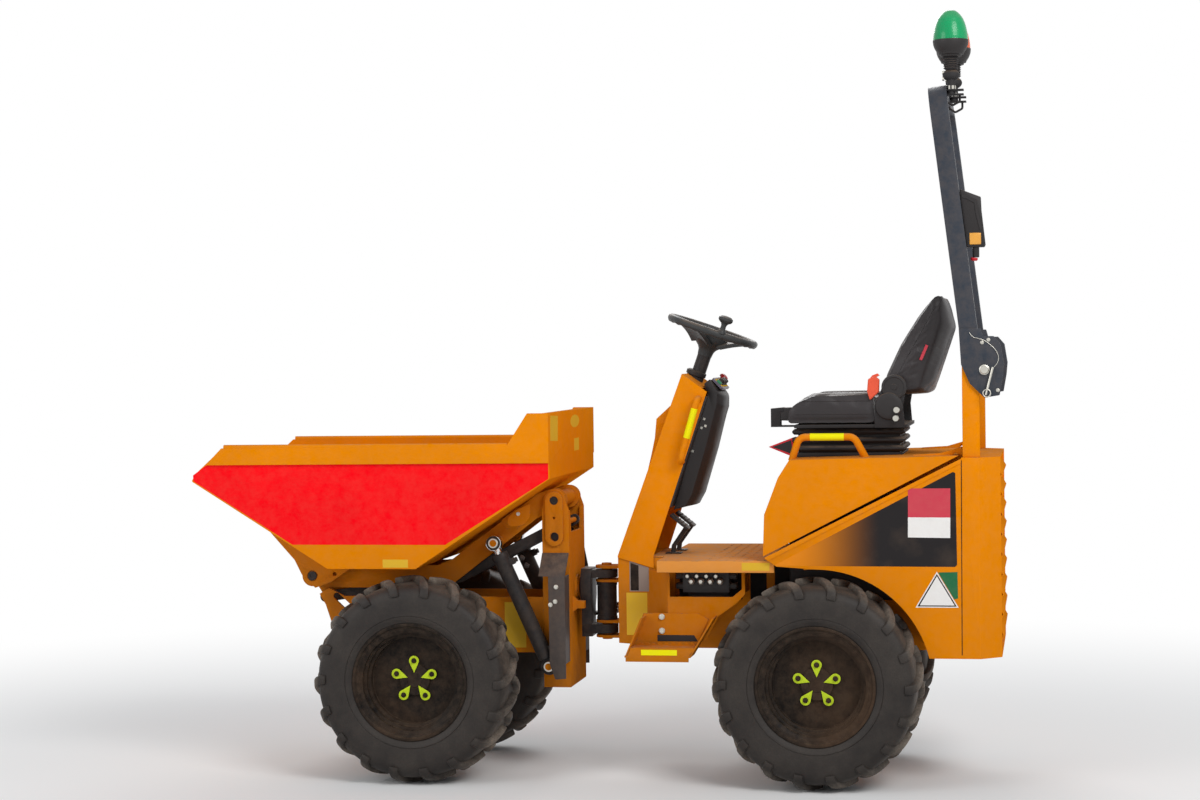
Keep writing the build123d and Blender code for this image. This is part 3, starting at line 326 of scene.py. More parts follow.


# nodes by finish: bodywork, chassis parts that are more soiled and painted darker as shade, and black steel
ORANGE_BODYWORK = ["skip_tub", "rear_body", "engine_cover", "rops_posts", "steering_tower", "rear_grille",
                   "deck_handles"]
ORANGE_CHASSIS = ["mast", "mast_doublers", "front_frame", "lift_frame", "skip_brackets", "skip_carriage", "rear_frame"]
BLACK_STEEL = ["yoke", "front_axle", "rear_axle", "lift_ram_barrel_left", "lift_ram_barrel_right",
               "tip_ram_barrel", "steer_ram_barrel", "levelling_links"]
for node in ORANGE_BODYWORK:
    dressed(node, orange_paint, "orange_paint")
for node in ORANGE_CHASSIS:
    dressed(node, orange_chassis_shaded, "orange_paint")
for node in BLACK_STEEL:
    dressed(node, black_paint, "black_paint")
for node in ["steps", "side_sills"]:
    dressed(node, orange_step_shaded, "orange_paint")
dressed("ram_guards", grey_paint, "dark_grey_paint")

# ---------------------------------------------------------------- tyres
# Site tyres of natural-rubber compound, moulded with deep traction bars that run from the middle of the tread
# over the shoulder. Dry earth greys the bars' faces together with a painted highlight, and lies between them; the
# sidewalls are cleaner.
TYRE_LOW, TYRE_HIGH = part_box("tyre_front_left")
TYRE_R = (TYRE_HIGH.z - TYRE_LOW.z) / 2
HALF_WIDTH = (TYRE_HIGH.y - TYRE_LOW.y) / 2
LUG_COUNT = 18
LUG_STEPS = 9
LUG_SWEEP = 0.074
LUG_DEPTH = 0.034
# half section of the carcass as (radius, offset): bead, rim ledge, two mould rings, flank, shoulder, tread
CARCASS = [(0.2005, 0.1165), (0.2155, 0.1165), (0.2200, 0.1205), (0.2270, 0.1212), (0.2290, 0.1232), (0.2400, 0.1245),
           (0.2420, 0.1228), (0.2440, 0.1248), (0.2600, 0.1256), (0.2850, 0.1262), (0.3060, 0.1254), (0.3220, 0.1225),
           (0.3360, 0.1160), (0.3470, 0.1040), (0.3535, 0.0850), (0.3565, 0.0500), (0.3575, 0.0)]


def twin(piece):
    """A copy of a piece with a mesh of its own."""
    copy = piece.copy()
    copy.data = piece.data.copy()
    scene.collection.objects.link(copy)
    return copy


def settle(piece):
    """Puts a piece's place, turn and size into its mesh."""
    only(piece)
    bpy.ops.object.transform_apply(location=True, rotation=True, scale=True)
    return piece


def join(pieces):
    """Joins pieces into the first and settles its place into its mesh."""
    only(pieces[0])
    for piece in pieces:
        piece.select_set(True)
    if len(pieces) > 1:
        bpy.ops.object.join()
    return settle(pieces[0])


def lathe(name, section, steps=96):
    """Spins a closed section of (radius, offset along Y) into a ring about the Y axis."""
    piece = primitive(bpy.ops.mesh.primitive_plane_add, name, size=0.01)
    bpy.ops.object.mode_set(mode="EDIT")
    bpy.ops.mesh.select_mode(type="VERT")
    bpy.ops.mesh.select_all(action="SELECT")
    bpy.ops.mesh.merge(type="CENTER")
    bpy.ops.transform.translate(value=(section[0][0], section[0][1], 0))
    for (r0, y0), (r1, y1) in zip(section, section[1:]):
        bpy.ops.mesh.extrude_region_move(TRANSFORM_OT_translate={"value": (r1 - r0, y1 - y0, 0)})
    bpy.ops.object.mode_set(mode="OBJECT")
    ends = [0, len(piece.data.vertices) - 1]
    for vertex in piece.data.vertices:
        vertex.select = vertex.index in ends
    bpy.ops.object.mode_set(mode="EDIT")
    bpy.ops.mesh.edge_face_add()
    edit(piece, (bpy.ops.mesh.spin, {"steps": steps, "angle": 2 * pi, "center": (0, 0, 0), "axis": (0, 1, 0)}),
         (bpy.ops.mesh.remove_doubles, {"threshold": 0.00005}), OUTWARD)
    return piece


def turned_copies(piece, count, phase=0.0):
    """The piece and its copies, spread evenly round the Y axis and joined into one mesh."""
    copies = [piece] + [twin(piece) for _ in range(count - 1)]
    for number, copy in enumerate(copies):
        copy.rotation_euler = (0, phase + number * 2 * pi / count, 0)
    return join(copies)


def mirrored(piece):
    """The piece's mirror image on the machine's other side, with its faces turned outwards."""
    other = twin(piece)
    other.scale = (1, -1, 1)
    edit(settle(other), OUTWARD)
    return other


def both_sides(piece):
    """A piece together with its mirror image."""
    return join([piece, mirrored(piece)])


def lug_line(t):
    """Offset and radius of a traction bar's crest, from the tread's middle at 0 to the flank at 1, and the slopes."""
    points = [(-0.012, TYRE_R), (0.070, TYRE_R), (HALF_WIDTH + 0.001, TYRE_R - 0.008), (HALF_WIDTH - 0.001, 0.316)]
    weights = [(1 - t) ** 3, 3 * t * (1 - t) ** 2, 3 * t * t * (1 - t), t ** 3]
    slopes = [-3 * (1 - t) ** 2, 3 * (1 - t) ** 2 - 6 * t * (1 - t), 6 * t * (1 - t) - 3 * t * t, 3 * t * t]
    offset, radius = (sum(w * p[k] for w, p in zip(weights, points)) for k in (0, 1))
    run, fall = (sum(w * p[k] for w, p in zip(slopes, points)) for k in (0, 1))
    size = hypot(run, fall)
    return offset, radius, -fall / size, run / size


def make_lug():
    """One bar: a block cut lengthwise into steps, then bent over the crown and shoulder."""
    lug = primitive(bpy.ops.mesh.primitive_cube_add, "tyre_bars", size=1)
    bpy.ops.object.mode_set(mode="EDIT")
    bpy.ops.mesh.select_mode(type="EDGE")
    bpy.ops.mesh.select_all(action="DESELECT")
    bpy.ops.object.mode_set(mode="OBJECT")
    for edge in lug.data.edges:
        a, b = (lug.data.vertices[i].co for i in edge.vertices)
        edge.select = abs(a.x - b.x) > 0.5
    bpy.ops.object.mode_set(mode="EDIT")
    bpy.ops.mesh.subdivide(number_cuts=LUG_STEPS)
    bpy.ops.object.mode_set(mode="OBJECT")
    for vertex in lug.data.vertices:
        t = vertex.co.x + 0.5
        foot = 0.5 - vertex.co.z
        offset, radius, axial, radial = lug_line(t)
        depth = LUG_DEPTH * foot
        half = 0.0125 + 0.0060 * t + (0.0085 + 0.002 * t) * foot
        arc = LUG_SWEEP * sin(t * pi / 2) ** 0.9 - 2 * vertex.co.y * half
        radius -= depth * radial
        angle = arc / TYRE_R
        vertex.co = (-radius * sin(angle), offset - depth * axial, radius * cos(angle))
    bevel(lug, 0.0035, angle=40)
    return lug


def make_tyre():
    """The carcass and its bars, with each point's share of the tyre's radius stored for the earth and painted
    highlight.
    """
    carcass = lathe("tyre_carcass", CARCASS + [(r, -y) for r, y in reversed(CARCASS[:-1])])
    smooth(carcass, 40)
    lug = make_lug()
    other = mirrored(lug)
    near = turned_copies(lug, LUG_COUNT)
    far = turned_copies(other, LUG_COUNT, pi / LUG_COUNT)
    bars = join([near, far])
    smooth(bars, 35)
    tyre = join([carcass, bars])
    reach = tyre.data.attributes.new("reach", "FLOAT", "POINT")
    for vertex in tyre.data.vertices:
        reach.data[vertex.index].value = hypot(vertex.co.x, vertex.co.z) / TYRE_R
    return tyre


def rubber():
    """Black rubber, greyed by dry earth, with a painted highlight on the bars' faces."""
    material = bpy.data.materials.new("tyre_rubber_dusty_and_highlit")
    tree = fresh(material)
    spot = add(tree, "ShaderNodeTexCoord").outputs["Object"]
    reach = add(tree, "ShaderNodeAttribute", {"attribute_name": "reach"}).outputs["Fac"]
    blotch = noise(tree, spot, 9.0, 7.0, 0.65)
    grit = noise(tree, spot, 160.0, 3.0, 0.6)
    # earth and painted highlight: heaviest out on the bars' faces, thin on the flanks
    crest = ramp(tree, reach, 0.90, 0.995, 0.08, 0.9)
    patch = ramp(tree, blotch, 0.34, 0.68)
    soil_and_highlight = calc(tree, "MULTIPLY", crest, patch)
    shade = ramp(tree, grit, 0.35, 0.65, 0.75, 1.15)
    dirt_and_highlight = shaded(tree, linear("#8F8376"), shade)
    colour = blend(tree, soil_and_highlight, linear("#292523"), dirt_and_highlight)
    gloss = ramp(tree, soil_and_highlight, to_low=0.52, to_high=0.95)
    rough = calc(tree, "MULTIPLY_ADD", blotch, 0.6, grit)
    return finished(material, tree, Base_Color=colour, Roughness=gloss, Normal=bumpy(tree, rough, 0.35, 0.0015),
                    Specular_IOR_Level=0.22)


WHEELS = ["front_left", "front_right", "rear_left", "rear_right"]


def placed_at_wheels(master, part):
    """One copy of a left-hand wheel's piece on each wheel, mirrored on the right."""
    for wheel in WHEELS:
        low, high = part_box("tyre_" + wheel)
        piece = twin(master)
        piece.name = f"{part}_{wheel}_finished"
        piece.location = (low + high) / 2
        piece.scale = (1, 1 if piece.location.y > 0 else -1, 1)
        settle(piece)
        if low.y < 0:
            edit(piece, (bpy.ops.mesh.flip_normals, {}))
        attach(piece, "wheel_" + wheel)
        if part in ("tyre", "rim"):
            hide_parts(f"{part}_{wheel}")
    bpy.data.objects.remove(master)


tyre = make_tyre()
tyre.data.materials.append(rubber())
placed_at_wheels(tyre, "tyre")

# ---------------------------------------------------------------- rims, nuts and nut indicators
# Pressed steel wheels in black enamel: a stepped well, a flat disc on five nuts. On each nut sits a lime plastic
# ring whose tip points to the hub, so that a nut which has turned shows at once.
DISC_Y = 0.032
NUT_CIRCLE = 0.070
NUT_COUNT = 5
DISH = [(0.2148, 0.1170), (0.2150, 0.1212), (0.2125, 0.1232), (0.2060, 0.1232), (0.2030, 0.1205), (0.1990, 0.1130),
        (0.1900, 0.1105), (0.1885, 0.1090), (0.1885, 0.0965), (0.1870, 0.0940), (0.1800, 0.0910), (0.1785, 0.0890),
        (0.1785, 0.0745), (0.1770, 0.0720), (0.1700, 0.0690), (0.1685, 0.0670), (0.1685, 0.0500), (0.1650, 0.0390),
        (0.1580, 0.0330), (0.1100, 0.0330), (0.0900, DISC_Y), (0.0640, DISC_Y), (0.0600, 0.0335), (0.0580, 0.0420),
        (0.0560, 0.0438), (0.0300, 0.0440), (0.0270, 0.0460), (0.0, 0.0460), (0.0, 0.0200), (0.1600, 0.0200),
        (0.1600, 0.0620), (0.1700, 0.0660), (0.1700, 0.0840), (0.1800, 0.0880), (0.1800, 0.1060), (0.1930, 0.1120),
        (0.1995, 0.1160), (0.2120, 0.1170)]
BARREL = [(0.1930, -0.1160), (0.1930, 0.1130), (0.1997, 0.1130), (0.1997, -0.1163), (0.2140, -0.1163),
          (0.2140, -0.1230), (0.2050, -0.1230)]

rim = lathe("rim", DISH, 112)
barrel = lathe("rim_barrel", BARREL, 112)
nut = primitive(bpy.ops.mesh.primitive_cylinder_add, "nut", vertices=6, radius=0.0125, depth=0.016,
                location=(NUT_CIRCLE, DISC_Y + 0.008, 0), rotation=(pi / 2, 0, 0))
bevel(nut, 0.0012)
stud = primitive(bpy.ops.mesh.primitive_cylinder_add, "stud", vertices=20, radius=0.0078, depth=0.024,
                 location=(NUT_CIRCLE, DISC_Y + 0.012, 0), rotation=(pi / 2, 0, 0))
bevel(stud, 0.001, angle=50)
settle(nut)
settle(stud)
nuts = turned_copies(join([nut, stud]), NUT_COUNT, -pi / 2)
rim = join([rim, barrel, nuts])
smooth(rim, 28)
wheel_enamel = painted("wheel_enamel_black", "#1A1716", dust=0.15, mud=0.45, wear=0.1, rough=0.36, shine=0.06)
rim.data.materials.append(wheel_enamel)
placed_at_wheels(rim, "rim")

INDICATOR_R = 0.0185
INDICATOR_HOLE = 0.0095
INDICATOR_TIP = 0.0440
INDICATOR_THICK = 0.0045


def make_indicator():
    """A flat ring whose outline runs off in two tangents to a tip, on the side that faces the hub."""
    ring = primitive(bpy.ops.mesh.primitive_circle_add, "nut_indicators", vertices=48, radius=INDICATOR_HOLE)
    edit(ring, (bpy.ops.mesh.extrude_edges_move, {}))
    tangent = acos(INDICATOR_R / INDICATOR_TIP)
    for vertex in ring.data.vertices:
        if vertex.select:
            angle = abs(atan2(vertex.co.y, -vertex.co.x))
            reach = INDICATOR_R / cos(angle - tangent) if angle < tangent else INDICATOR_R
            vertex.co *= reach / INDICATOR_HOLE
    modify(ring, "SOLIDIFY", thickness=INDICATOR_THICK, offset=1)
    bevel(ring, 0.0008, angle=50)
    ring.rotation_euler = (-pi / 2, 0, 0)
    ring.location = (NUT_CIRCLE, DISC_Y + 0.0165, 0)
    return settle(ring)


indicator = turned_copies(make_indicator(), NUT_COUNT, -pi / 2)
smooth(indicator, 40)
indicator.data.materials.append(painted("lime_plastic", "#C3DB2C", dust=0.2, mud=0.2, wear=0.0, rough=0.4))
placed_at_wheels(indicator, "nut_indicators")

# ---------------------------------------------------------------- vinyl films and plates
# Cut vinyl film 0.4 mm thick, pressed on to the enamel: red over the skip's flanks, a wedge that darkens towards the
# rear on the body, and blank labels. The edges stand proud enough to catch dust; the film is a little satin.
FILM = 0.0004
MIDDLE_X = (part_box("tyre_front_left")[0].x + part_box("tyre_rear_left")[1].x) / 2


def station(x, y, z):
    """A place given in millimetres, with X counted from the middle of the wheelbase, in the frame's metres."""
    return Vector((x / 1000 + MIDDLE_X, y / 1000, z / 1000))


def cut_sheet(name, outline, run):
    """A flat sheet inside an outline of places, thickened along one run."""
    piece = primitive(bpy.ops.mesh.primitive_circle_add, name, vertices=len(outline), radius=0.1, fill_type="NGON")
    for vertex, place in zip(piece.data.vertices, outline):
        vertex.co = place
    edit(piece, (bpy.ops.mesh.extrude_region_move, {"TRANSFORM_OT_translate": {"value": run}}), OUTWARD)
    return settle(piece)


def plate(name, y, thick, places):
    """A plate whose inner face stands at one Y, from places of (X, Z) in millimetres."""
    return cut_sheet(name, [station(x, y, z) for x, z in places], (0, thick, 0))


def side_film(name, y, material, slot, places, body="rear_chassis", both=True, thick=FILM):
    """A film or plate on the machine's left flank, and on the right one too where both sides carry it."""
    piece = plate(name, y, thick, places)
    return fit(both_sides(piece) if both else piece, material, body, slot)


def wedge_film():
    """Printed film: orange at its point, black from the middle on."""
    material = bpy.data.materials.new("printed_wedge_film")
    tree = fresh(material)
    spot = add(tree, "ShaderNodeTexCoord").outputs["Object"]
    along = add(tree, "ShaderNodeSeparateXYZ", None, {0: spot}).outputs["X"]
    fade = ramp(tree, along, station(-620, 0, 0).x, station(-975, 0, 0).x, interpolation_type="SMOOTHSTEP")
    colour = blend(tree, fade, linear(ORANGE), linear("#1C1819"))
    haze = noise(tree, spot, 14.0, 6.0)
    dust = ramp(tree, haze, 0.5, 0.8, to_high=0.05)
    dusty = blend(tree, dust, colour, linear(DUST))
    gloss = ramp(tree, haze, to_low=0.25, to_high=0.5)
    return finished(material, tree, Base_Color=dusty, Roughness=gloss, Specular_IOR_Level=0.2)


red_film = painted("red_vinyl_film", "#F80C1A", dust=0.0, mud=0.0, wear=0.0, rough=0.42)
yellow_film = painted("yellow_label_film", "#DDB032", dust=0.2, mud=0.2, wear=0.0, rough=0.4)
white_film, rose_film, green_film, black_film = (
    painted(name + "_label_film", colour, dust=0.1, mud=0.2, wear=0.0, rough=0.4)
    for name, colour in [("white", "#E9E7E4"), ("rose", "#CB4554"), ("green", "#1B6B46"), ("black", "#1C1A1B")])
silver_plate = painted("anodised_data_plate", "#8C7E76", dust=0.1, mud=0.2, wear=0.0, rough=0.35)
tape_film = painted("yellow_reflective_tape", "#F1E90A", dust=0.1, mud=0.1, wear=0.0, rough=0.3)

# the faces that carry films, in millimetres from the machine's middle plane; the headboard's lies across it
SKIP_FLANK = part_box("skip_tub")[1].y * 1000 - 12
BODY_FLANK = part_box("engine_cover")[1].y * 1000
STEP_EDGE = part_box("steps")[1].y * 1000 - 0.4
CHASSIS_FACE = 150
PLATE_FACE = 178
HEADBOARD_X = 218
side_film("skip_red_film", SKIP_FLANK, red_film, "red_paint",
          [(1520, 1174), (1574, 1136), (1573, 1114), (1192, 878), (611, 878), (222, 1118), (222, 1174)], "skip")
side_film("skip_label", SKIP_FLANK, yellow_film, "orange_paint",
          [(848, 794), (848, 824), (752, 824), (752, 794)], "skip")
side_film("body_wedge_film", BODY_FLANK, wedge_film(), "black_paint",
          [(-595, 803), (-1232, 801), (-1239, 808), (-1236, 1132), (-1228, 1136), (-600, 808)])
side_film("body_white_label", BODY_FLANK + 0.6, white_film, "dark_grey_paint",
          [(-1068, 905), (-1216, 903), (-1217, 975), (-1069, 976)], both=False)
side_film("body_rose_label", BODY_FLANK + 0.6, rose_film, "red_paint",
          [(-1069, 976), (-1217, 975), (-1218, 1078), (-1070, 1078)], both=False)
side_film("body_green_label", BODY_FLANK, green_film, "dark_grey_paint",
          [(-1172, 781), (-1240, 783), (-1241, 690), (-1228, 686)], both=False)
side_film("body_white_triangle", BODY_FLANK + 0.5, white_film, "dark_grey_paint",
          [(-1168, 784), (-1092, 657), (-1243, 657)], both=False)
side_film("body_triangle_border", BODY_FLANK + 1.0, black_film, "black_paint",
          [(-1168, 776), (-1099, 661), (-1236, 661)], both=False)
side_film("body_triangle_field", BODY_FLANK + 1.5, white_film, "dark_grey_paint",
          [(-1168, 768), (-1107, 665), (-1229, 665)], both=False)
side_film("corner_seam", BODY_FLANK, black_film, "black_paint",
          [(-1252, 489), (-1256, 1176), (-1259, 1176), (-1255, 489)])
side_film("floor_label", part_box("footplate")[1].y * 1000, yellow_film, "orange_paint",
          [(-474, 784), (-574, 784), (-574, 812), (-474, 812)])
side_film("frame_labels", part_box("rear_frame")[1].y * 1000 - 17, yellow_film, "orange_paint",
          [(-15, 524), (-93, 524), (-93, 681), (-15, 681)])
side_film("chassis_labels", CHASSIS_FACE, yellow_film, "orange_paint",
          [(374, 470), (455, 470), (455, 640), (374, 640)], "front_chassis")
side_film("data_plate", PLATE_FACE, silver_plate, "dark_grey_paint",
          [(-28, 686), (-100, 686), (-100, 774), (-28, 800)], both=False, thick=0.001)
side_film("data_plate_field", PLATE_FACE + 1, black_film, "black_paint",
          [(-32, 690), (-62, 690), (-62, 782), (-32, 792)], both=False, thick=0.0005)

# The headboard's rear face carries two oblong labels and an oval one.
HEADBOARD_LABELS = [("headboard_label", [(397, 1346), (264, 1342), (271, 1249), (403, 1255)]),
                    ("headboard_plate", [(-40, 1247), (-132, 1247), (-132, 1200), (-40, 1200)]),
                    ("headboard_oval", [(-57 + 84 * cos(2 * pi * k / 32), 1313 + 24 * sin(2 * pi * k / 32))
                                        for k in range(32)])]
for name, places in HEADBOARD_LABELS:
    fit(cut_sheet(name, [station(HEADBOARD_X, y, z) for y, z in places], (-FILM, 0, 0)), yellow_film, "skip",
        "orange_paint")


def tape_band(name, start, end, radius, body):
    """Reflective tape wound round a tube between two places."""
    length = (end - start).length
    band = lathe(name, [(radius, 0), (radius + 0.0004, 0), (radius + 0.0004, length), (radius, length)], 32)
    band.rotation_euler = (end - start).to_track_quat("Y", "Z").to_euler()
    band.location = start
    settle(band)
    smooth(band, 40)
    return fit(both_sides(band), tape_film, body, "orange_paint")


tape_band("deck_handle_tape", station(-716, 300, 1258), station(-838, 300, 1258), 0.0130, "engine_cover")
tape_band("tower_handle_tape", station(-286, 229, 1363), station(-255, 229, 1255), 0.0120, "rear_chassis")
side_film("step_tape", STEP_EDGE, tape_film, "orange_paint", [(-107, 479), (-238, 479), (-238, 499), (-107, 499)])

# ---------------------------------------------------------------- mast, rams and guards: hardware
# Zinc-plated bolts hold the guards, ground pins with a chamfered face carry the ram eyes, and the rods are hard
# chrome. Black forged adaptors stand on the barrels where the hoses screw on.


def surfaced(name, colour, rough, grain=0.0012, bump=0.12, dust=0.15, metallic=0.0, coat=0.0, shine=0.28):
    """A moulded or metal surface: its own fine grain, uneven gloss and a little dust on what faces up."""
    material = bpy.data.materials.new(name)
    tree = fresh(material)
    place = add(tree, "ShaderNodeTexCoord")
    spot = place.outputs["Object"]
    facing = add(tree, "ShaderNodeSeparateXYZ", None, {0: place.outputs["Normal"]}).outputs["Z"]
    cloudy = noise(tree, spot, 11.0, 6.0, 0.6)
    skin = noise(tree, spot, 1 / grain, 2.0)
    tone = ramp(tree, cloudy, 0.3, 0.7, 0.88, 1.1)
    base = shaded(tree, linear(colour), tone)
    upward = ramp(tree, facing, 0.3, 0.95, to_high=dust)
    patchy = ramp(tree, cloudy, 0.35, 0.6)
    film = calc(tree, "MULTIPLY", upward, patchy)
    dusty = blend(tree, film, base, linear(DUST))
    gloss = ramp(tree, cloudy, 0.3, 0.7, rough * 0.85, rough * 1.2)
    return finished(material, tree, Base_Color=dusty, Roughness=gloss, Normal=bumpy(tree, skin, bump, 0.0005),
                    Metallic=metallic, Coat_Weight=coat, Specular_IOR_Level=0.5 if metallic else shine)


zinc = surfaced("zinc_plated_steel", "#C6C3BA", 0.32, bump=0.05, metallic=1.0)
chrome = surfaced("hard_chrome", "#D2D3D4", 0.14, bump=0.01, dust=0.05, metallic=1.0)
black_plastic = surfaced("black_moulded_plastic", "#292626", 0.5, grain=0.0018, bump=0.3, dust=0.2)
black_rubber = surfaced("black_rubber", "#252324", 0.62, grain=0.002, bump=0.25, dust=0.3)
cast_iron = surfaced("cast_iron_painted", "#3D3A39", 0.6, grain=0.003, bump=0.5, dust=0.35)


def turned_part(name, section, place, way, steps=40, sharp=32):
    """A turned part: a closed section of (radius, distance) about a line that starts at a place and runs one way."""
    piece = lathe(name, section, steps)
    piece.rotation_euler = Vector(way).to_track_quat("Y", "Z").to_euler()
    piece.location = place
    settle(piece)
    smooth(piece, sharp)
    return piece


def chamfered(radius, length, cut):
    """Section of a round bar with a chamfered end."""
    return [(0, 0), (radius, 0), (radius, length - cut), (radius - cut, length), (0, length)]


def block(name, edge, segments, size, lean, place):
    """A block with rounded edges: a bevelled unit cube drawn to a size, leant about Y and put in place."""
    piece = primitive(bpy.ops.mesh.primitive_cube_add, name, size=1)
    bevel(piece, edge, segments)
    piece.scale = size
    piece.rotation_euler = (0, lean, 0)
    piece.location = place
    return settle(piece)


def bolt(name, place, way, size=0.008):
    """A hexagon-head bolt on its washer, screwed in against one way."""
    washer = turned_part(name, chamfered(size * 1.25, size * 0.25, size * 0.08), place, way, 24)
    head = primitive(bpy.ops.mesh.primitive_cylinder_add, name + "_head", vertices=6, radius=size, depth=size * 0.8)
    bevel(head, size * 0.1)
    head.rotation_euler = Vector(way).to_track_quat("Z", "Y").to_euler()
    head.location = Vector(place) + Vector(way).normalized() * size * 0.6
    settle(head)
    return join([washer, head])


LEFT = Vector((0, 1, 0))
GUARD_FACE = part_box("ram_guards")[1].y * 1000
guard_bolts = join([bolt("guard_bolt", station(x, GUARD_FACE, z), LEFT, 0.007)
                    for x, z in [(262, 640), (244, 652), (240, 706)]])
fit(both_sides(guard_bolts), zinc, "front_chassis", "chrome_rod")

# faces of the front half that hardware stands on, in millimetres from the machine's middle plane
RAM_FACE = 206
FOOT_FACE = 214
EYE_FACE = 173
MAST_HEAD_FACE = 152
MAST_FACE = 138
BRACKET_FACE = 166
ARM_FACE = 173.5
PIN_FACE = [(0, 0), (0.019, 0), (0.019, 0.003), (0.0175, 0.0045), (0.0135, 0.0045), (0.0125, 0.0025), (0, 0.0025)]
head_pin = turned_part("ram_head_pin_left", PIN_FACE, station(483, RAM_FACE, 866), LEFT)
fit(mirrored(head_pin), zinc, "lift_ram_rod_right", "chrome_rod").name = "ram_head_pin_right"
fit(head_pin, zinc, "lift_ram_rod_left", "chrome_rod")
foot_pin = turned_part("ram_foot_pins", PIN_FACE, station(276, FOOT_FACE, 407), LEFT)
fit(both_sides(foot_pin), zinc, "front_chassis", "chrome_rod")

# Each rod's eye is blacked and each pin's hollow end is orange. Pins sunk in the holes of the mast and the brackets
# show dark ends: their near-black colour is painted shade of the bores.
EYE = [(0.0192, 0), (0.0262, 0), (0.0268, 0.001), (0.0268, 0.0325), (0.0262, 0.0335), (0.0192, 0.0335)]
CORE = chamfered(0.0128, 0.0034, 0.0006)
HANDS = [(1, "left"), (-1, "right")]
for hand, name in HANDS:
    eye = turned_part("ram_eye_" + name, EYE, station(483, hand * EYE_FACE, 866), (0, hand, 0), 64, 30)
    fit(eye, black_paint, "lift_ram_rod_" + name, "black_paint")
    core = turned_part("ram_pin_core_" + name, CORE, station(483, hand * RAM_FACE, 866), (0, hand, 0))
    fit(core, orange_chassis_shaded, "lift_ram_rod_" + name, "orange_paint")
core = turned_part("foot_pin_cores", CORE, station(276, FOOT_FACE, 407), LEFT)
fit(both_sides(core), orange_chassis_shaded, "front_chassis", "orange_paint")
# near black: painted shade, in the pins' bores and in the step's slot
shade_dark_steel = surfaced("dark_steel_painted_shade", "#2A2322", 0.5, bump=0.1, dust=0.3)
PIN_END = [(0, 0), (0.0158, 0), (0.0158, 0.0065), (0.0145, 0.0075), (0.0085, 0.0075), (0.0075, 0.0055), (0, 0.0055)]
pins = join([turned_part("mast_pin_ends", PIN_END, station(259, MAST_HEAD_FACE, 1022), LEFT),
             turned_part("mast_pin_ends", chamfered(0.0172, 0.004, 0.001), station(259, MAST_FACE, 886), LEFT)])
fit(both_sides(pins), shade_dark_steel, "front_chassis", "dark_grey_paint")
end = turned_part("tip_pin_ends", [(0, 0), (0.0175, 0), (0.0175, 0.002), (0.0160, 0.003), (0.0090, 0.003),
                                   (0.0080, 0.0018), (0, 0.0018)], station(1200, BRACKET_FACE, 738), LEFT)
fit(both_sides(end), shade_dark_steel, "skip_carriage", "dark_grey_paint")
pad = plate("arm_pads", ARM_FACE, 0.0045,
            [(346, 1012), (346, 968), (350, 958), (368, 936), (378, 930), (418, 926), (430, 930), (434, 940),
             (432, 960), (400, 988)])
bevel(pad, 0.0015, angle=35)
fit(both_sides(pad), orange_chassis_shaded, "lift_frame", "orange_paint")
pad_bolt = bolt("arm_pad_bolts", station(392, ARM_FACE + 4.5, 974), LEFT, 0.006)
fit(both_sides(pad_bolt), zinc, "lift_frame", "chrome_rod")
sleeve = turned_part("pivot_sleeve", [(0.030, 0.0008), (0.0390, 0.0008), (0.0390, 0.012), (0.0372, 0.014),
                                      (0.0372, 0.129), (0.0390, 0.131), (0.0390, 0.1432), (0.030, 0.1432)],
                     station(91, 0, 562), (0, 0, 1), 64, 30)
fit(sleeve, black_paint, "rear_chassis", "black_paint")

for rod in ["lift_ram_rod_left", "lift_ram_rod_right", "tip_ram_rod", "steer_ram_rod"]:
    dressed(rod, chrome, "chrome_rod", 0.0008)
ADAPTOR = [(0, 0), (0.011, 0), (0.011, 0.008), (0.0085, 0.010), (0.0085, 0.014), (0.0075, 0.016), (0, 0.016)]
adaptors = [turned_part("hose_adaptors", ADAPTOR, station(x, 190, z), (-0.95, 0.1, -0.3), 6)
            for x, z in [(383, 812), (366, 784)]]
fit(join(adaptors), black_paint, "lift_ram_barrel_left", "black_paint")

# ---------------------------------------------------------------- engine and control valve
# A small diesel with a cast block under a ribbed head and a pressed cover, and the steering and tipping spool block
# on its left: cast iron in grey-black paint, with plated end caps and the square heads of the relief valves.
dressed("engine", cast_iron, "engine_grey", 0.006)
ENGINE_LOW, ENGINE_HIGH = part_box("engine")
fins = []
for number in range(12):
    fins.append(primitive(bpy.ops.mesh.primitive_cube_add, "engine_ribs", size=1,
                          location=(ENGINE_LOW.x + 0.06 + number * 0.038, 0, (ENGINE_LOW.z + ENGINE_HIGH.z) / 2 + 0.1),
                          scale=(0.008, ENGINE_HIGH.y - ENGINE_LOW.y + 0.024, 0.19)))
    bevel(settle(fins[-1]), 0.003)
pulley = turned_part("engine_pulley", [(0, 0), (0.075, 0), (0.075, 0.006), (0.060, 0.014), (0.060, 0.018),
                                       (0.075, 0.026), (0.075, 0.032), (0.030, 0.032), (0.030, 0.046), (0, 0.046)],
                     Vector((ENGINE_LOW.x + 0.001, 0.05, 0.72)), (-1, 0, 0), 48)
oil_filter = primitive(bpy.ops.mesh.primitive_cube_add, "engine_filter", size=1, location=(-0.86, 0.165, 0.62),
                       scale=(0.09, 0.03, 0.12))
bevel(settle(oil_filter), 0.012, 4)
fit(join(fins + [pulley, oil_filter]), cast_iron, "rear_chassis", "engine_grey")
dressed("control_valve", cast_iron, "engine_grey", 0.002)
VALVE_CAP = [(0, 0), (0.0125, 0), (0.0125, 0.006), (0.0095, 0.008), (0.0095, 0.016), (0.007, 0.018), (0, 0.018)]
caps = []
for x in (-380, -345, -310, -275):
    caps.append(turned_part("valve_caps", VALVE_CAP, station(x, 277, 734), LEFT, 6))
    caps.append(turned_part("valve_relief", chamfered(0.008, 0.014, 0.002), station(x + 17, 261, 752), LEFT, 12))
fit(join(caps), zinc, "rear_chassis", "chrome_rod")
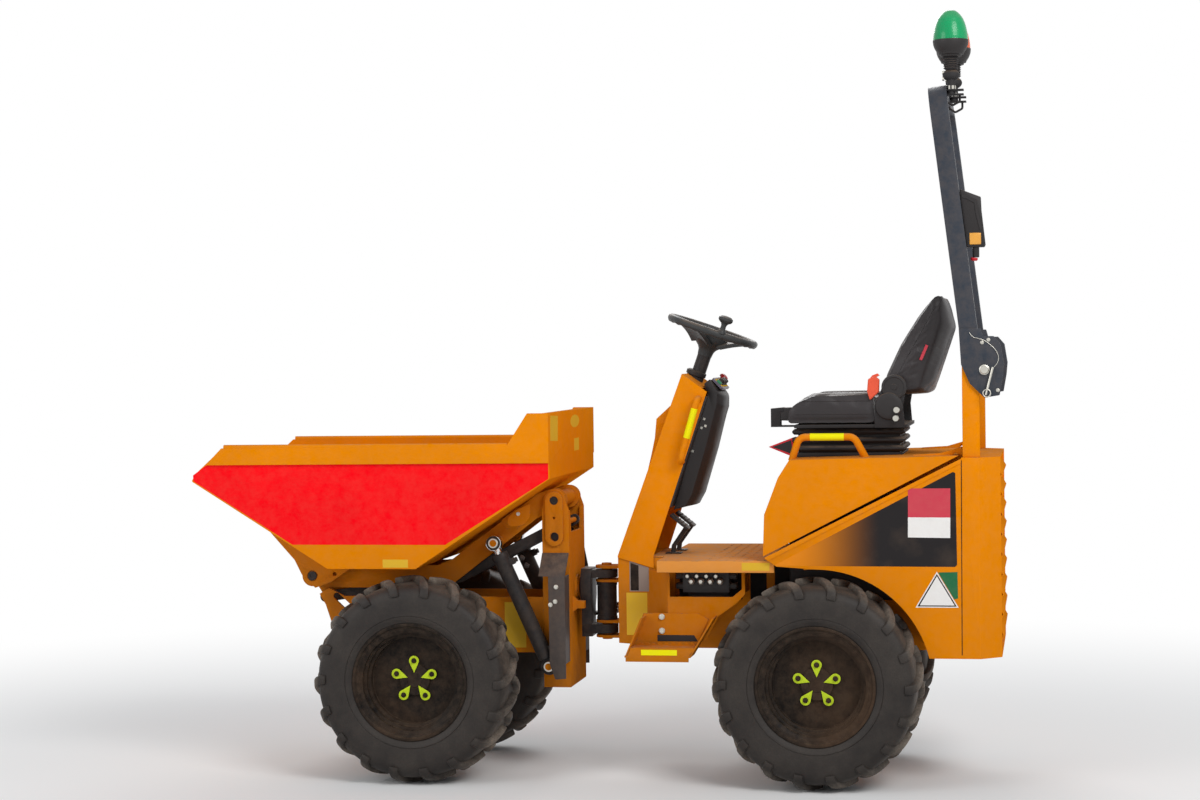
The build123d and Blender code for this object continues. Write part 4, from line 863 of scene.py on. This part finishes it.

# A rubber splash screen hangs under the floor and closes the view of the engine's front end; its black is painted shade
# of the engine bay.
screen = plate("splash_screen_painted_shade", 58, 0.004,
               [(-196, 600), (-196, 772), (-616, 772), (-616, 560), (-560, 520), (-300, 520)])
bevel(screen, 0.0015)
fit(screen, black_rubber, "rear_chassis", "black_plastic")

# ---------------------------------------------------------------- footplate and step treads
# Orange plate with raised lozenges pressed into it, worn and dusty on top, with painted sheen that keeps its top paler
# than its lip. The step's tread has the same studs and a row of cut teeth along its rear edge; two bolts hold the step
# to the frame.
# pale enamel under a heavy top film: trodden dust, and painted sheen on the deck's top
deck_dust_and_sheen = painted("orange_enamel_trodden_dust_and_sheen", "#DD9040", dust=0.62, mud=0.1, wear=1.0, rough=0.55)
dressed("footplate", deck_dust_and_sheen, "orange_paint")
STUD_PITCH = 0.034
STUD_SIZE = (0.020, 0.0075, 0.0016)


def stud_field(name, low, high, z, material):
    """Raised lozenges in staggered rows over a rectangle."""
    stud = primitive(bpy.ops.mesh.primitive_uv_sphere_add, name, segments=10, ring_count=5, radius=0.5)
    half = {"plane_co": (0, 0, 0), "plane_no": (0, 0, 1), "clear_inner": True, "use_fill": True}
    edit(stud, (bpy.ops.mesh.bisect, half))
    stud.scale = (STUD_SIZE[0], STUD_SIZE[1], STUD_SIZE[2] * 2)
    settle(stud)
    copies = []
    rows = int((high.y - low.y) / STUD_PITCH)
    columns = int((high.x - low.x) / STUD_PITCH)
    for row in range(rows):
        for column in range(columns):
            copy = twin(stud)
            copy.location = (low.x + STUD_PITCH * (column + 0.5), low.y + STUD_PITCH * (row + 0.5), z)
            copy.rotation_euler = (0, 0, radians(45 if (row + column) % 2 else -45))
            copies.append(copy)
    bpy.data.objects.remove(stud)
    field = join(copies)
    smooth(field, 60)
    return fit(field, material, "rear_chassis", "orange_paint")


DECK_LOW, DECK_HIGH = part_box("footplate")
stud_field("footplate_studs", Vector((DECK_LOW.x + 0.02, DECK_LOW.y + 0.02, 0)),
           Vector((station(-330, 0, 0).x, DECK_HIGH.y - 0.01, 0)), DECK_HIGH.z - 0.0003, deck_dust_and_sheen)
# tread: a plate folded down into the lip that the tape lies on, between the step's two cheeks
STEP_TOP = 506
STEP_INNER = 338
STEP_BACK = 309
FOLD = [(STEP_INNER, STEP_TOP), (STEP_EDGE - 3, STEP_TOP), (STEP_EDGE - 0.9, STEP_TOP - 0.9), (STEP_EDGE, STEP_TOP - 3),
        (STEP_EDGE, 474), (STEP_EDGE - 3, 474), (STEP_EDGE - 3, STEP_TOP - 3), (STEP_INNER, STEP_TOP - 3)]
tread = cut_sheet("step_treads", [station(-68, y, z) for y, z in FOLD], (-0.232, 0, 0))
for vertex in tread.data.vertices:
    # the lip's ends follow the slanted cheeks
    fall = station(0, 0, STEP_TOP).z - vertex.co.z
    if fall > 0.005:
        vertex.co.x += fall * (0.42 if vertex.co.x > station(-180, 0, 0).x else 0.60)
smooth(tread, 40)
fit(both_sides(tread), orange_step_shaded, "rear_chassis", "orange_paint")
for hand, name in HANDS:
    low = min(hand * 0.342, hand * 0.408)
    stud_field("step_studs_" + name, Vector((station(-292, 0, 0).x, low, 0)),
               Vector((station(-76, 0, 0).x, low + 0.0685, 0)), station(0, 0, STEP_TOP - 0.2).z, orange_step_shaded)
teeth = [(-298, STEP_TOP)]
for x in range(-290, -97, 24):
    teeth += [(x, STEP_TOP + 11), (x + 10, STEP_TOP + 11), (x + 14, STEP_TOP + 2)]
strip = plate("step_teeth", STEP_INNER, 0.003, teeth + [(-70, STEP_TOP + 2), (-70, STEP_TOP - 3), (-298, STEP_TOP - 3)])
fit(both_sides(strip), orange_step_shaded, "rear_chassis", "orange_paint")
# a dark strip on the step's back plate behind the slot: painted shade of the gap behind the teeth
side_film("step_slot_painted_shade", STEP_BACK - 0.2, shade_dark_steel, "dark_grey_paint",
          [(-151, 518), (-151, 541), (-286, 541), (-300, 518)], thick=0.001)
step_bolts = join([bolt("step_bolts", station(-168, STEP_BACK, z), LEFT, 0.009) for z in (607, 556)])
fit(both_sides(step_bolts), zinc, "rear_chassis", "chrome_rod")

# ---------------------------------------------------------------- tower, console, column and steering wheel
# A black moulded console closes the tower's open rear; at its head a small panel carries the key switch, a green
# rocker and a red stop button. The wheel is soft moulded polyurethane on a steel core, with a spinner knob.
console = dressed("console", black_plastic, "black_plastic", 0.006, 40)
edit(console, *[(bpy.ops.mesh.bisect, {"plane_co": (0, y, 0), "plane_no": (0, 1, 0)})
                for y in (-0.085, -0.045, 0.045, 0.085)])
(x0, z0), (x1, z1) = [(station(x, 0, 0).x, z / 1000) for x, z in [(-188, 985), (-318, 1400)]]
for vertex in console.data.vertices:
    # its back is moulded round: the further from the middle, the further forward
    side = (abs(vertex.co.y) - 0.045) / 0.075
    if 0 < side < 1.05:
        front = x0 + (x1 - x0) * min(1.0, (vertex.co.z - z0) / (z1 - z0))
        depth = (front - vertex.co.x) / 0.07
        vertex.co.x += 0.030 * side ** 2 * max(0.0, min(1.0, depth))
for vertex in console.data.vertices:
    # its head slopes down to the rear, and its back stands a little further forward than its solid
    behind = station(-330, 0, 0).x - vertex.co.x
    if abs(vertex.co.y) < 0.125 and behind > 0:
        vertex.co.z -= 0.55 * behind * min(1.0, max(0.0, (vertex.co.z - 1.28) / 0.12))
        vertex.co.x += 0.18 * behind
smooth(console, 40)
dressed("pedals", black_paint, "black_paint", 0.002)
dressed("steering_column", black_paint, "black_paint", 0.002, 40)
pads = []
for y in (-105, 35):
    for row in range(5):
        start = station(-176 - row * 12.5, y + 6, 962.5 - row * 10)
        pads.append(block("pedal_ribs", 0.15, 2, (0.005, 0.058, 0.004), radians(-38),
                          start + Vector((0, 0.029, 0.003))))
fit(join(pads), black_rubber, "rear_chassis", "black_paint")

# The panel lies on the console's sloping head.
PANEL_PLACE = station(-353, 0, 1450)
PANEL_TURN = radians(46)
PANEL_UP = Vector((-sin(PANEL_TURN), 0, cos(PANEL_TURN)))
bezel = block("switch_panel", 0.12, 4, (0.056, 0.190, 0.010), -PANEL_TURN, PANEL_PLACE)
smooth(bezel, 40)
fit(bezel, surfaced("panel_grey_abs", "#5D5664", 0.4, dust=0.3), "rear_chassis", "black_plastic")
label = block("switch_label", 0.1, 3, (0.040, 0.165, 0.0012), -PANEL_TURN, PANEL_PLACE + PANEL_UP * 0.0052)
fit(label, yellow_film, "rear_chassis", "orange_paint")
DIAL = [(0, 0), (0.0155, 0), (0.0155, 0.004), (0.0125, 0.006), (0.0115, 0.016), (0.009, 0.018), (0, 0.018)]
dials = [turned_part("panel_dials", DIAL, PANEL_PLACE + PANEL_UP * 0.005 + Vector((0, y / 1000, 0)), PANEL_UP, 32)
         for y in (40, -5, -48)]
fit(join(dials), black_plastic, "rear_chassis", "black_plastic")
stop = turned_part("stop_button", [(0, 0), (0.010, 0), (0.010, 0.008), (0.017, 0.010), (0.018, 0.017), (0.015, 0.023),
                                   (0.007, 0.026), (0, 0.0265)],
                   PANEL_PLACE + PANEL_UP * 0.002 + Vector((0.012, -0.086, 0.010)), PANEL_UP, 32)
fit(stop, surfaced("red_abs", "#B3151B", 0.3, bump=0.05, coat=0.2), "rear_chassis", "red_paint")
rocker = block("green_rocker", 0.2, 3, (0.022, 0.014, 0.012), -PANEL_TURN,
               PANEL_PLACE + PANEL_UP * 0.008 + Vector((0, 0.080, 0)))
fit(rocker, surfaced("green_abs", "#2E7A54", 0.35, bump=0.05), "rear_chassis", "green_lens")
clips = [side_film("console_clips", 120, zinc, "chrome_rod",
                   [(x, z), (x + 8, z + 3), (x + 5, z + 11), (x - 3, z + 8)], both=False, thick=0.0015)
         for x, z in [(-309, 1316), (-313, 1290), (-298, 1283), (-264, 1197)]]
fit(join(clips), zinc, "rear_chassis", "chrome_rod")

# wheel: the rim swells into finger grips underneath, and three spokes run down into a cone over the column
WHEEL_RIM = 0.163
WHEEL_GRIP = 0.0135
HUB_DROP = 0.040
WHEEL_PLACE = station(-326, 0, 1648)
WHEEL_LEAN = radians(19.6)
SPOKE_ANGLES = [pi / 3, pi, 5 * pi / 3]
rim_ring = primitive(bpy.ops.mesh.primitive_torus_add, "steering_wheel_rim", major_segments=96, minor_segments=16,
                     major_radius=WHEEL_RIM, minor_radius=WHEEL_GRIP)
for vertex in rim_ring.data.vertices:
    turn = atan2(vertex.co.y, vertex.co.x)
    if vertex.co.z < -0.002:
        vertex.co.z -= 0.0016 * (1 + cos(turn * 24)) * min(1, -vertex.co.z / WHEEL_GRIP)
parts = [rim_ring]
for angle in SPOKE_ANGLES:
    spoke = primitive(bpy.ops.mesh.primitive_grid_add, "spoke", x_subdivisions=12, y_subdivisions=4, size=1)
    for vertex in spoke.data.vertices:
        t = vertex.co.x + 0.5
        reach = 0.040 + (WHEEL_RIM - 0.044) * t
        half = 0.050 - 0.018 * t * (1 - t) - 0.004 * t
        drop = HUB_DROP * (1 - t) ** 1.5 + 0.003
        bow = 0.014 * (1 - t) * (vertex.co.y * 2) ** 2
        vertex.co = (reach, vertex.co.y * 2 * half, -drop - bow)
    modify(spoke, "SOLIDIFY", thickness=0.014, offset=0)
    bevel(spoke, 0.0022, angle=60)
    modify(spoke, "SUBSURF", levels=1, render_levels=1)
    spoke.rotation_euler = (0, 0, angle)
    settle(spoke)
    parts.append(spoke)
HUB = [(0, -0.098), (0.027, -0.098), (0.028, -0.090), (0.030, -0.078), (0.036, -0.067), (0.046, -0.058),
       (0.060, -0.044), (0.066, -0.030), (0.066, -0.018), (0.060, -0.010), (0.044, -0.007), (0.042, -0.0085),
       (0.038, -0.0085), (0.036, -0.006), (0, -0.004)]
hub = turned_part("wheel_hub", HUB, (0, 0, 0), (0, 0, 1), 64)
KNOB_ANGLE = radians(109)
SPINNER = [(0, 0.006), (0.017, 0.006), (0.016, 0.015), (0.0105, 0.022), (0.0095, 0.036), (0.013, 0.045), (0.023, 0.051),
           (0.0275, 0.058), (0.0265, 0.066), (0.018, 0.0725), (0.006, 0.074), (0, 0.074)]
knob = turned_part("spinner_knob", SPINNER, (WHEEL_RIM * cos(KNOB_ANGLE), WHEEL_RIM * sin(KNOB_ANGLE), 0), (0, 0, 1))
wheel = join(parts + [hub, knob])
smooth(wheel, 50)
wheel.rotation_euler = (0, -WHEEL_LEAN, 0)
wheel.location = WHEEL_PLACE
settle(wheel)
wheel.name = "steering_wheel_finished"
fit(wheel, surfaced("black_polyurethane", "#343535", 0.46, grain=0.0016, bump=0.25, dust=0.25), "steering_wheel",
    "black_plastic", "steering_wheel")
boot = turned_part("column_clamp", [(0, 0), (0.040, 0), (0.040, 0.010), (0.034, 0.014), (0.033, 0.034), (0.038, 0.036),
                                    (0.038, 0.050), (0.0300, 0.055), (0, 0.055)], station(-247, 0, 1449),
                   (-sin(WHEEL_LEAN), 0, cos(WHEEL_LEAN)), 48)
fit(boot, black_paint, "rear_chassis", "black_paint")
bracket = [bolt("column_bolts", station(-262, y, 1478), (-0.9, 0, 0.4), 0.006) for y in (22, -22)]
fit(join(bracket), zinc, "rear_chassis", "chrome_rod")

# ---------------------------------------------------------------- seat
# A sprung seat: moulded foam pads in black coated vinyl, raised bolsters beside a flatter middle, welded piping on
# the seams. Rubber bellows hide the spring; pressed covers hide the recliner on both sides.
seat_vinyl = surfaced("black_coated_vinyl", "#302C2D", 0.42, grain=0.0015, bump=0.4, dust=0.12)
PAD_VOXEL = 0.0065
PAD_SHRINK = 0.006
PAD_PRESSURE = 4
PAD_FRAMES = 20
PAD_CAP = 0.006
BACK_OUT = Vector((0.876, 0, 0.482))


def foam_pad(name, node, held_low, rounding, lean=0.0):
    """A foam pad blown up inside its cover by cloth pressure; its underside is held, and no point moves past a cap."""
    pad = whole(name, node)
    modify(pad, "REMESH", mode="VOXEL", voxel_size=PAD_VOXEL)
    modify(pad, "SMOOTH", factor=0.5, iterations=rounding)
    for vertex in pad.data.vertices:
        vertex.co -= vertex.normal * PAD_SHRINK
        if lean:
            # the shell behind the foam narrows to the rear
            depth = (station(-984, 0, 1440) - vertex.co).dot(BACK_OUT)
            side = max(0.0, abs(vertex.co.y) - 0.10) / 0.125
            vertex.co += BACK_OUT * lean * min(1.0, side) ** 2 * min(1.0, max(0.0, depth / 0.10))
    rest = [vertex.co.copy() for vertex in pad.data.vertices]
    floor_z = min(place.z for place in rest)
    held = pad.vertex_groups.new(name="held")
    held.add([i for i, place in enumerate(rest) if place.z < floor_z + held_low], 1.0, "REPLACE")
    only(pad)
    cloth = pad.modifiers.new("cloth", "CLOTH")
    cloth.settings.use_pressure = True
    cloth.settings.uniform_pressure_force = PAD_PRESSURE
    cloth.settings.effector_weights.gravity = 0
    cloth.settings.vertex_group_mass = "held"
    cloth.point_cache.frame_start = 1
    cloth.point_cache.frame_end = PAD_FRAMES
    for frame_number in range(1, PAD_FRAMES + 1):
        scene.frame_set(frame_number)
    bpy.ops.object.modifier_apply(modifier=cloth.name)
    scene.frame_set(1)
    for vertex, place in zip(pad.data.vertices, rest):
        move = vertex.co - place
        if move.length > PAD_CAP:
            vertex.co = place + move.normalized() * PAD_CAP
    modify(pad, "SMOOTH", factor=0.5, iterations=8)
    modify(pad, "SUBSURF", levels=1, render_levels=1)
    only(pad)
    bpy.ops.object.shade_smooth()
    return pad


def tube(name, places, radius, order=3, rings=3, **settings):
    """A round bar drawn smoothly past a few places."""
    curve = bpy.data.curves.new(name, "CURVE")
    curve.dimensions = "3D"
    curve.bevel_depth = radius
    curve.bevel_resolution = rings
    curve.use_fill_caps = True
    for setting, value in settings.items():
        setattr(curve, setting, value)
    spline = curve.splines.new("NURBS")
    spline.points.add(len(places) - 1)
    for point, place in zip(spline.points, places):
        point.co = (*place, 1)
    spline.order_u = order
    spline.use_endpoint_u = True
    only(linked(name, curve))
    bpy.ops.object.convert(target="MESH")
    return settle(bpy.context.object)


def piping(name, pad, starts, way, radius=0.0018):
    """Welded piping laid along a pad where rays from a row of starts meet it."""
    places = []
    for start in starts:
        hit, place, normal, _ = pad.ray_cast(start, way)
        if hit:
            places.append(place + normal * 0.0003)
    return tube(name, places, radius, 4, 2)


SIDES = [(0.30, (0, -1, 0)), (-0.30, (0, 1, 0))]
cushion = foam_pad("seat_cushion_pad", "seat_cushion", 0.02, 5)
lines = []
for y in (-0.160, 0.160):
    starts = [station(x, 0, 1500) + Vector((0, y, 0)) for x in range(-945, -619, 8)]
    lines.append(piping("cushion_piping", cushion, starts, (0, 0, -1)))
for z in (1338, 1385):
    for y, way in SIDES:
        starts = [station(x, 0, z) + Vector((0, y, 0)) for x in range(-944, -655, 12)]
        lines.append(piping("cushion_piping", cushion, starts, way, 0.0014))
fit(cushion, seat_vinyl, body_of_node["seat_cushion"], "seat_vinyl", "seat_cushion")
fit(join(lines), seat_vinyl, body_of_node["seat_cushion"], "seat_vinyl")
back = foam_pad("seat_back_pad", "seat_back", 0.015, 8, lean=0.038)
lines = []
BACK_WAY = Vector((-0.88, 0, -0.47))
BACK_SLOPE = [(-984, 1440), (-996, 1500), (-1045, 1589), (-1105, 1680), (-1150, 1742)]
for y in (-0.150, 0.150):
    starts = []
    for (x0, z0), (x1, z1) in zip(BACK_SLOPE, BACK_SLOPE[1:]):
        starts += [station(x0 + (x1 - x0) * k / 8 + 150, 0, z0 + (z1 - z0) * k / 8 + 80) + Vector((0, y, 0))
                   for k in range(8)]
    lines.append(piping("back_piping", back, starts, BACK_WAY))
for z in (1520, 1640):
    starts = [station(-850, 0, z + 80) + Vector((0, y / 1000, 0)) for y in range(-150, 151, 12)]
    lines.append(piping("back_piping", back, starts, BACK_WAY, 0.0014))
for y, way in SIDES:
    starts = [station(-1010 - 11 * k, 0, 1450 + 19.5 * k) + Vector((0, y, 0)) for k in range(15)]
    lines.append(piping("back_piping", back, starts, way, 0.0014))
fit(back, seat_vinyl, body_of_node["seat_back"], "seat_vinyl", "seat_back")
fit(join(lines), seat_vinyl, body_of_node["seat_back"], "seat_vinyl")
dressed("seat_suspension", black_rubber, "black_plastic", 0.0035, 50)

COVER_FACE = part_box("seat_suspension")[1].y * 1000
UPPER_DISC = [(0, 0), (0.045, 0), (0.045, 0.004), (0.043, 0.007), (0.036, 0.0085), (0.034, 0.0065), (0.012, 0.0065),
              (0.010, 0.008), (0, 0.008)]
LOWER_DISC = [(0, 0), (0.049, 0), (0.049, 0.006), (0.046, 0.010), (0.038, 0.0125), (0.030, 0.0135), (0, 0.014)]
discs = join([turned_part("recliner_covers", UPPER_DISC, station(-1015, COVER_FACE, 1434), LEFT, 64),
              turned_part("recliner_covers", LOWER_DISC, station(-996, COVER_FACE, 1366), LEFT, 64)])
fit(both_sides(discs), black_plastic, "engine_cover", "black_plastic")
KNOB = [(0, 0), (0.011, 0), (0.0115, 0.004), (0.0095, 0.006), (0.0095, 0.012), (0.0115, 0.014), (0.0105, 0.019),
        (0, 0.020)]
knobs = [turned_part("recliner_knobs", KNOB, station(x, COVER_FACE + 8, z), LEFT, 32)
         for x, z in [(-1024, 1352), (-1021, 1322)]]
fit(join(knobs), zinc, "engine_cover", "chrome_rod")
buckle = plate("belt_buckle", 214, 0.024,
               [(-917, 1418), (-927, 1387), (-960, 1417), (-962, 1462), (-946, 1474), (-921, 1464)])
bevel(buckle, 0.004, 3, angle=30)
tongue = plate("belt_tongue", 222, 0.004, [(-946, 1468), (-923, 1462), (-936, 1477), (-955, 1484), (-963, 1476)])
bevel(tongue, 0.001, angle=30)
nylon = surfaced("orange_red_nylon", "#E2573A", 0.45, bump=0.2, dust=0.05)
fit(join([buckle, tongue]), nylon, "engine_cover", "red_paint")
link = plate("seat_front_bracket", 97, 0.046, [(-590, 1314), (-590, 1357), (-604, 1361), (-640, 1362), (-640, 1312)])
bevel(link, 0.003, angle=30)
fit(link, black_plastic, "engine_cover", "black_plastic")
flag = plate("seat_front_guard", 60, 0.130, [(-552, 1219), (-640, 1252), (-646, 1180)])
bevel(flag, 0.002, angle=30)
fit(flag, surfaced("red_sheet_enamel", "#C62733", 0.4), "engine_cover", "red_paint")
inset = plate("seat_front_pad", 190, 0.0015, [(-566, 1219), (-636, 1243), (-641, 1192)])
fit(inset, black_rubber, "engine_cover", "black_plastic")
side_film("seat_back_label", 226.0, rose_film, "red_paint",
          [(-1105, 1532), (-1115, 1529), (-1138, 1581), (-1129, 1586)], "engine_cover", both=False)

# ---------------------------------------------------------------- roll-over frame, lamp and beacons
# A hoop of rectangular tube in black powder coat folds back on two bolts; a lock pin with its ring and steel lanyard
# holds it up. The lamp is a moulded case on the left leg; the beacons are ribbed domes on ribbed rubber stems.
# blue-grey black powder coat, lighter than the black enamel because the hoop's bright light is painted into it
hoop_paint_lightened = painted("black_powder_coat_painted_light", "#343A43", dust=0.05, mud=0.0, wear=0.35, rough=0.42, shine=0.12)
dressed("rops_hoop", hoop_paint_lightened, "black_paint", 0.004)
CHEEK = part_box("rops_hoop")[1].y * 1000 - 16
washer = turned_part("fold_bolt", [(0, 0), (0.018, 0), (0.018, 0.003), (0.015, 0.004), (0.015, 0.011), (0.013, 0.013),
                                   (0, 0.013)], station(-1341, CHEEK, 1494), LEFT, 40)
studs = [bolt("hinge_studs", station(x, CHEEK, z), LEFT, 0.0055)
         for x, z in [(-1334, 1590), (-1356, 1599), (-1387, 1422)]]
fit(both_sides(join([washer] + studs)), zinc, "rops", "chrome_rod")


def wire(name, y, places, radius):
    """A zinc-plated bar or wire on both cheeks of the hoop, bent through a few places."""
    piece = both_sides(tube(name, [station(x, y, z) for x, z in places], radius, resolution_u=8))
    smooth(piece, 60)
    fit(piece, zinc, "rops", "chrome_rod")


wire("lock_pin_bar", CHEEK + 13, [(-1371, 1503), (-1367, 1490), (-1349, 1420), (-1346, 1406)], 0.0045)
ring = primitive(bpy.ops.mesh.primitive_torus_add, "lock_pin_ring", major_segments=40, minor_segments=10,
                 major_radius=0.013, minor_radius=0.0022, rotation=(pi / 2, 0, 0))
ring.location = station(-1349, CHEEK + 19, 1412)
settle(ring)
smooth(ring, 60)
fit(both_sides(ring), zinc, "rops", "chrome_rod")
wire("lock_pin_lanyard", CHEEK + 2, [(-1290, 1626), (-1300, 1608), (-1324, 1604), (-1353, 1592), (-1389, 1555),
                                     (-1392, 1519), (-1374, 1503)], 0.0012)
dressed("lamp_holder", black_plastic, "black_plastic", 0.007, 45)
LAMP_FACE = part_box("lamp_holder")[1].y * 1000
side_film("lamp_side_rib", LAMP_FACE - 0.5, black_plastic, "black_plastic",
          [(-1268, 2112), (-1290, 2106), (-1322, 2090), (-1326, 2052), (-1338, 1990), (-1330, 1984), (-1316, 2046),
           (-1312, 2080), (-1284, 2096), (-1268, 2100)], "rops", both=False, thick=0.004)
amber = surfaced("amber_polycarbonate", "#DA9A3A", 0.2, grain=0.004, bump=0.3, coat=0.4)
dressed("marker_lamp", amber, "amber_lens", 0.0025)
side_film("marker_frame", LAMP_FACE - 0.5, black_plastic, "black_plastic",
          [(-1290, 1930), (-1290, 1979), (-1338, 1979), (-1338, 1930)], "rops", both=False, thick=0.002)
cap = turned_part("lamp_knob_cap", [(0, 0), (0.013, 0), (0.013, 0.006), (0.010, 0.010), (0, 0.011)],
                  station(-1309, 372, 1888), (0.1, 0, -1), 24)
fit(cap, surfaced("red_pvc_cap", "#C2202A", 0.4), "rops", "red_paint")


def polycarbonate(name, colour):
    """Dyed clear polycarbonate: lets a little light in and shows its moulded ribs."""
    material = surfaced(name, colour, 0.25, grain=0.004, bump=0.1, dust=0.1, coat=0.08, shine=0.2)
    shader = material.node_tree.nodes["Principled BSDF"]
    shader.inputs["Transmission Weight"].default_value = 0.08
    shader.inputs["IOR"].default_value = 1.585
    return material


DOME = [(0.0615, -0.013), (0.0613, -0.005), (0.0600, 0.010), (0.0575, 0.024), (0.0545, 0.037), (0.0510, 0.048),
        (0.0465, 0.059), (0.0400, 0.070), (0.0325, 0.0795), (0.0260, 0.0860), (0.0185, 0.0910), (0.008, 0.0930)]
BOWL = [(0.028, -0.072), (0.036, -0.071), (0.038, -0.065), (0.045, -0.063), (0.047, -0.057), (0.052, -0.050),
        (0.0575, -0.040), (0.0615, -0.028), (0.0628, -0.017), (0.0625, -0.0125), (0.028, -0.0125)]
WING_NUT = [(0, 0), (0.017, 0), (0.017, 0.014), (0.012, 0.018), (0.012, 0.036), (0, 0.036)]


def beacon(prefix, colour, slot):
    """Ribbed dome over a shallow bowl, on a ribbed rubber stem held by a through bolt and its wing nut."""
    low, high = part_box(prefix + "_lens")
    foot = Vector(((low.x + high.x) / 2, (low.y + high.y) / 2, low.z))
    section = [(0, -0.013)]
    for (r0, h0), (r1, h1) in zip(DOME, DOME[1:]):
        steps = 4 if h1 <= 0.067 else 2
        for step in range(steps):
            t = step / steps
            groove = 0.0007 if step % 2 and h1 <= 0.067 else 0
            section.append((r0 + (r1 - r0) * t - groove, h0 + (h1 - h0) * t))
    section += [DOME[-1], (0, 0.093)]
    dome = turned_part(prefix + "_dome", section, foot, (0, 0, 1), 72, 50)
    fit(dome, polycarbonate(prefix + "_polycarbonate", colour), "rops", slot, prefix + "_lens")
    dressed(prefix + "_mount", black_rubber, "black_plastic", 0.002, 45)
    bowl = turned_part(prefix + "_bowl", BOWL, foot, (0, 0, 1), 72, 35)
    fit(bowl, black_plastic, "rops", "black_plastic")
    ribs = [(0.0225, -0.116)]
    for number in range(7):
        z = -0.114 + number * 0.0075
        ribs += [(0.0225, z), (0.0262, z + 0.0015), (0.0262, z + 0.0035), (0.0225, z + 0.005)]
    ribs += [(0.0225, -0.060), (0.016, -0.060), (0.016, -0.116)]
    stem = turned_part(prefix + "_stem", ribs, foot, (0, 0, 1), 40, 35)
    lobe = primitive(bpy.ops.mesh.primitive_uv_sphere_add, prefix + "_lobe", segments=24, ring_count=12, radius=0.030,
                     location=foot + Vector((0, 0, -0.136)), scale=(1.0, 0.75, 0.75))
    settle(lobe)
    smooth(lobe, 60)
    fit(join([stem, lobe]), black_rubber, "rops", "black_plastic")
    wing = [bolt(prefix + "_bolts", foot + Vector((0.024, 0, h)), (1, 0, 0), 0.007) for h in (-0.126, -0.148)]
    nut = turned_part(prefix + "_nut", WING_NUT, foot + Vector((0, 0, -0.188)), (0, 0, 1), 6)
    fit(join(wing + [nut]), zinc, "rops", "chrome_rod")


beacon("beacon", "#06985C", "green_lens")
beacon("amber_beacon", "#DE5A22", "amber_lens")
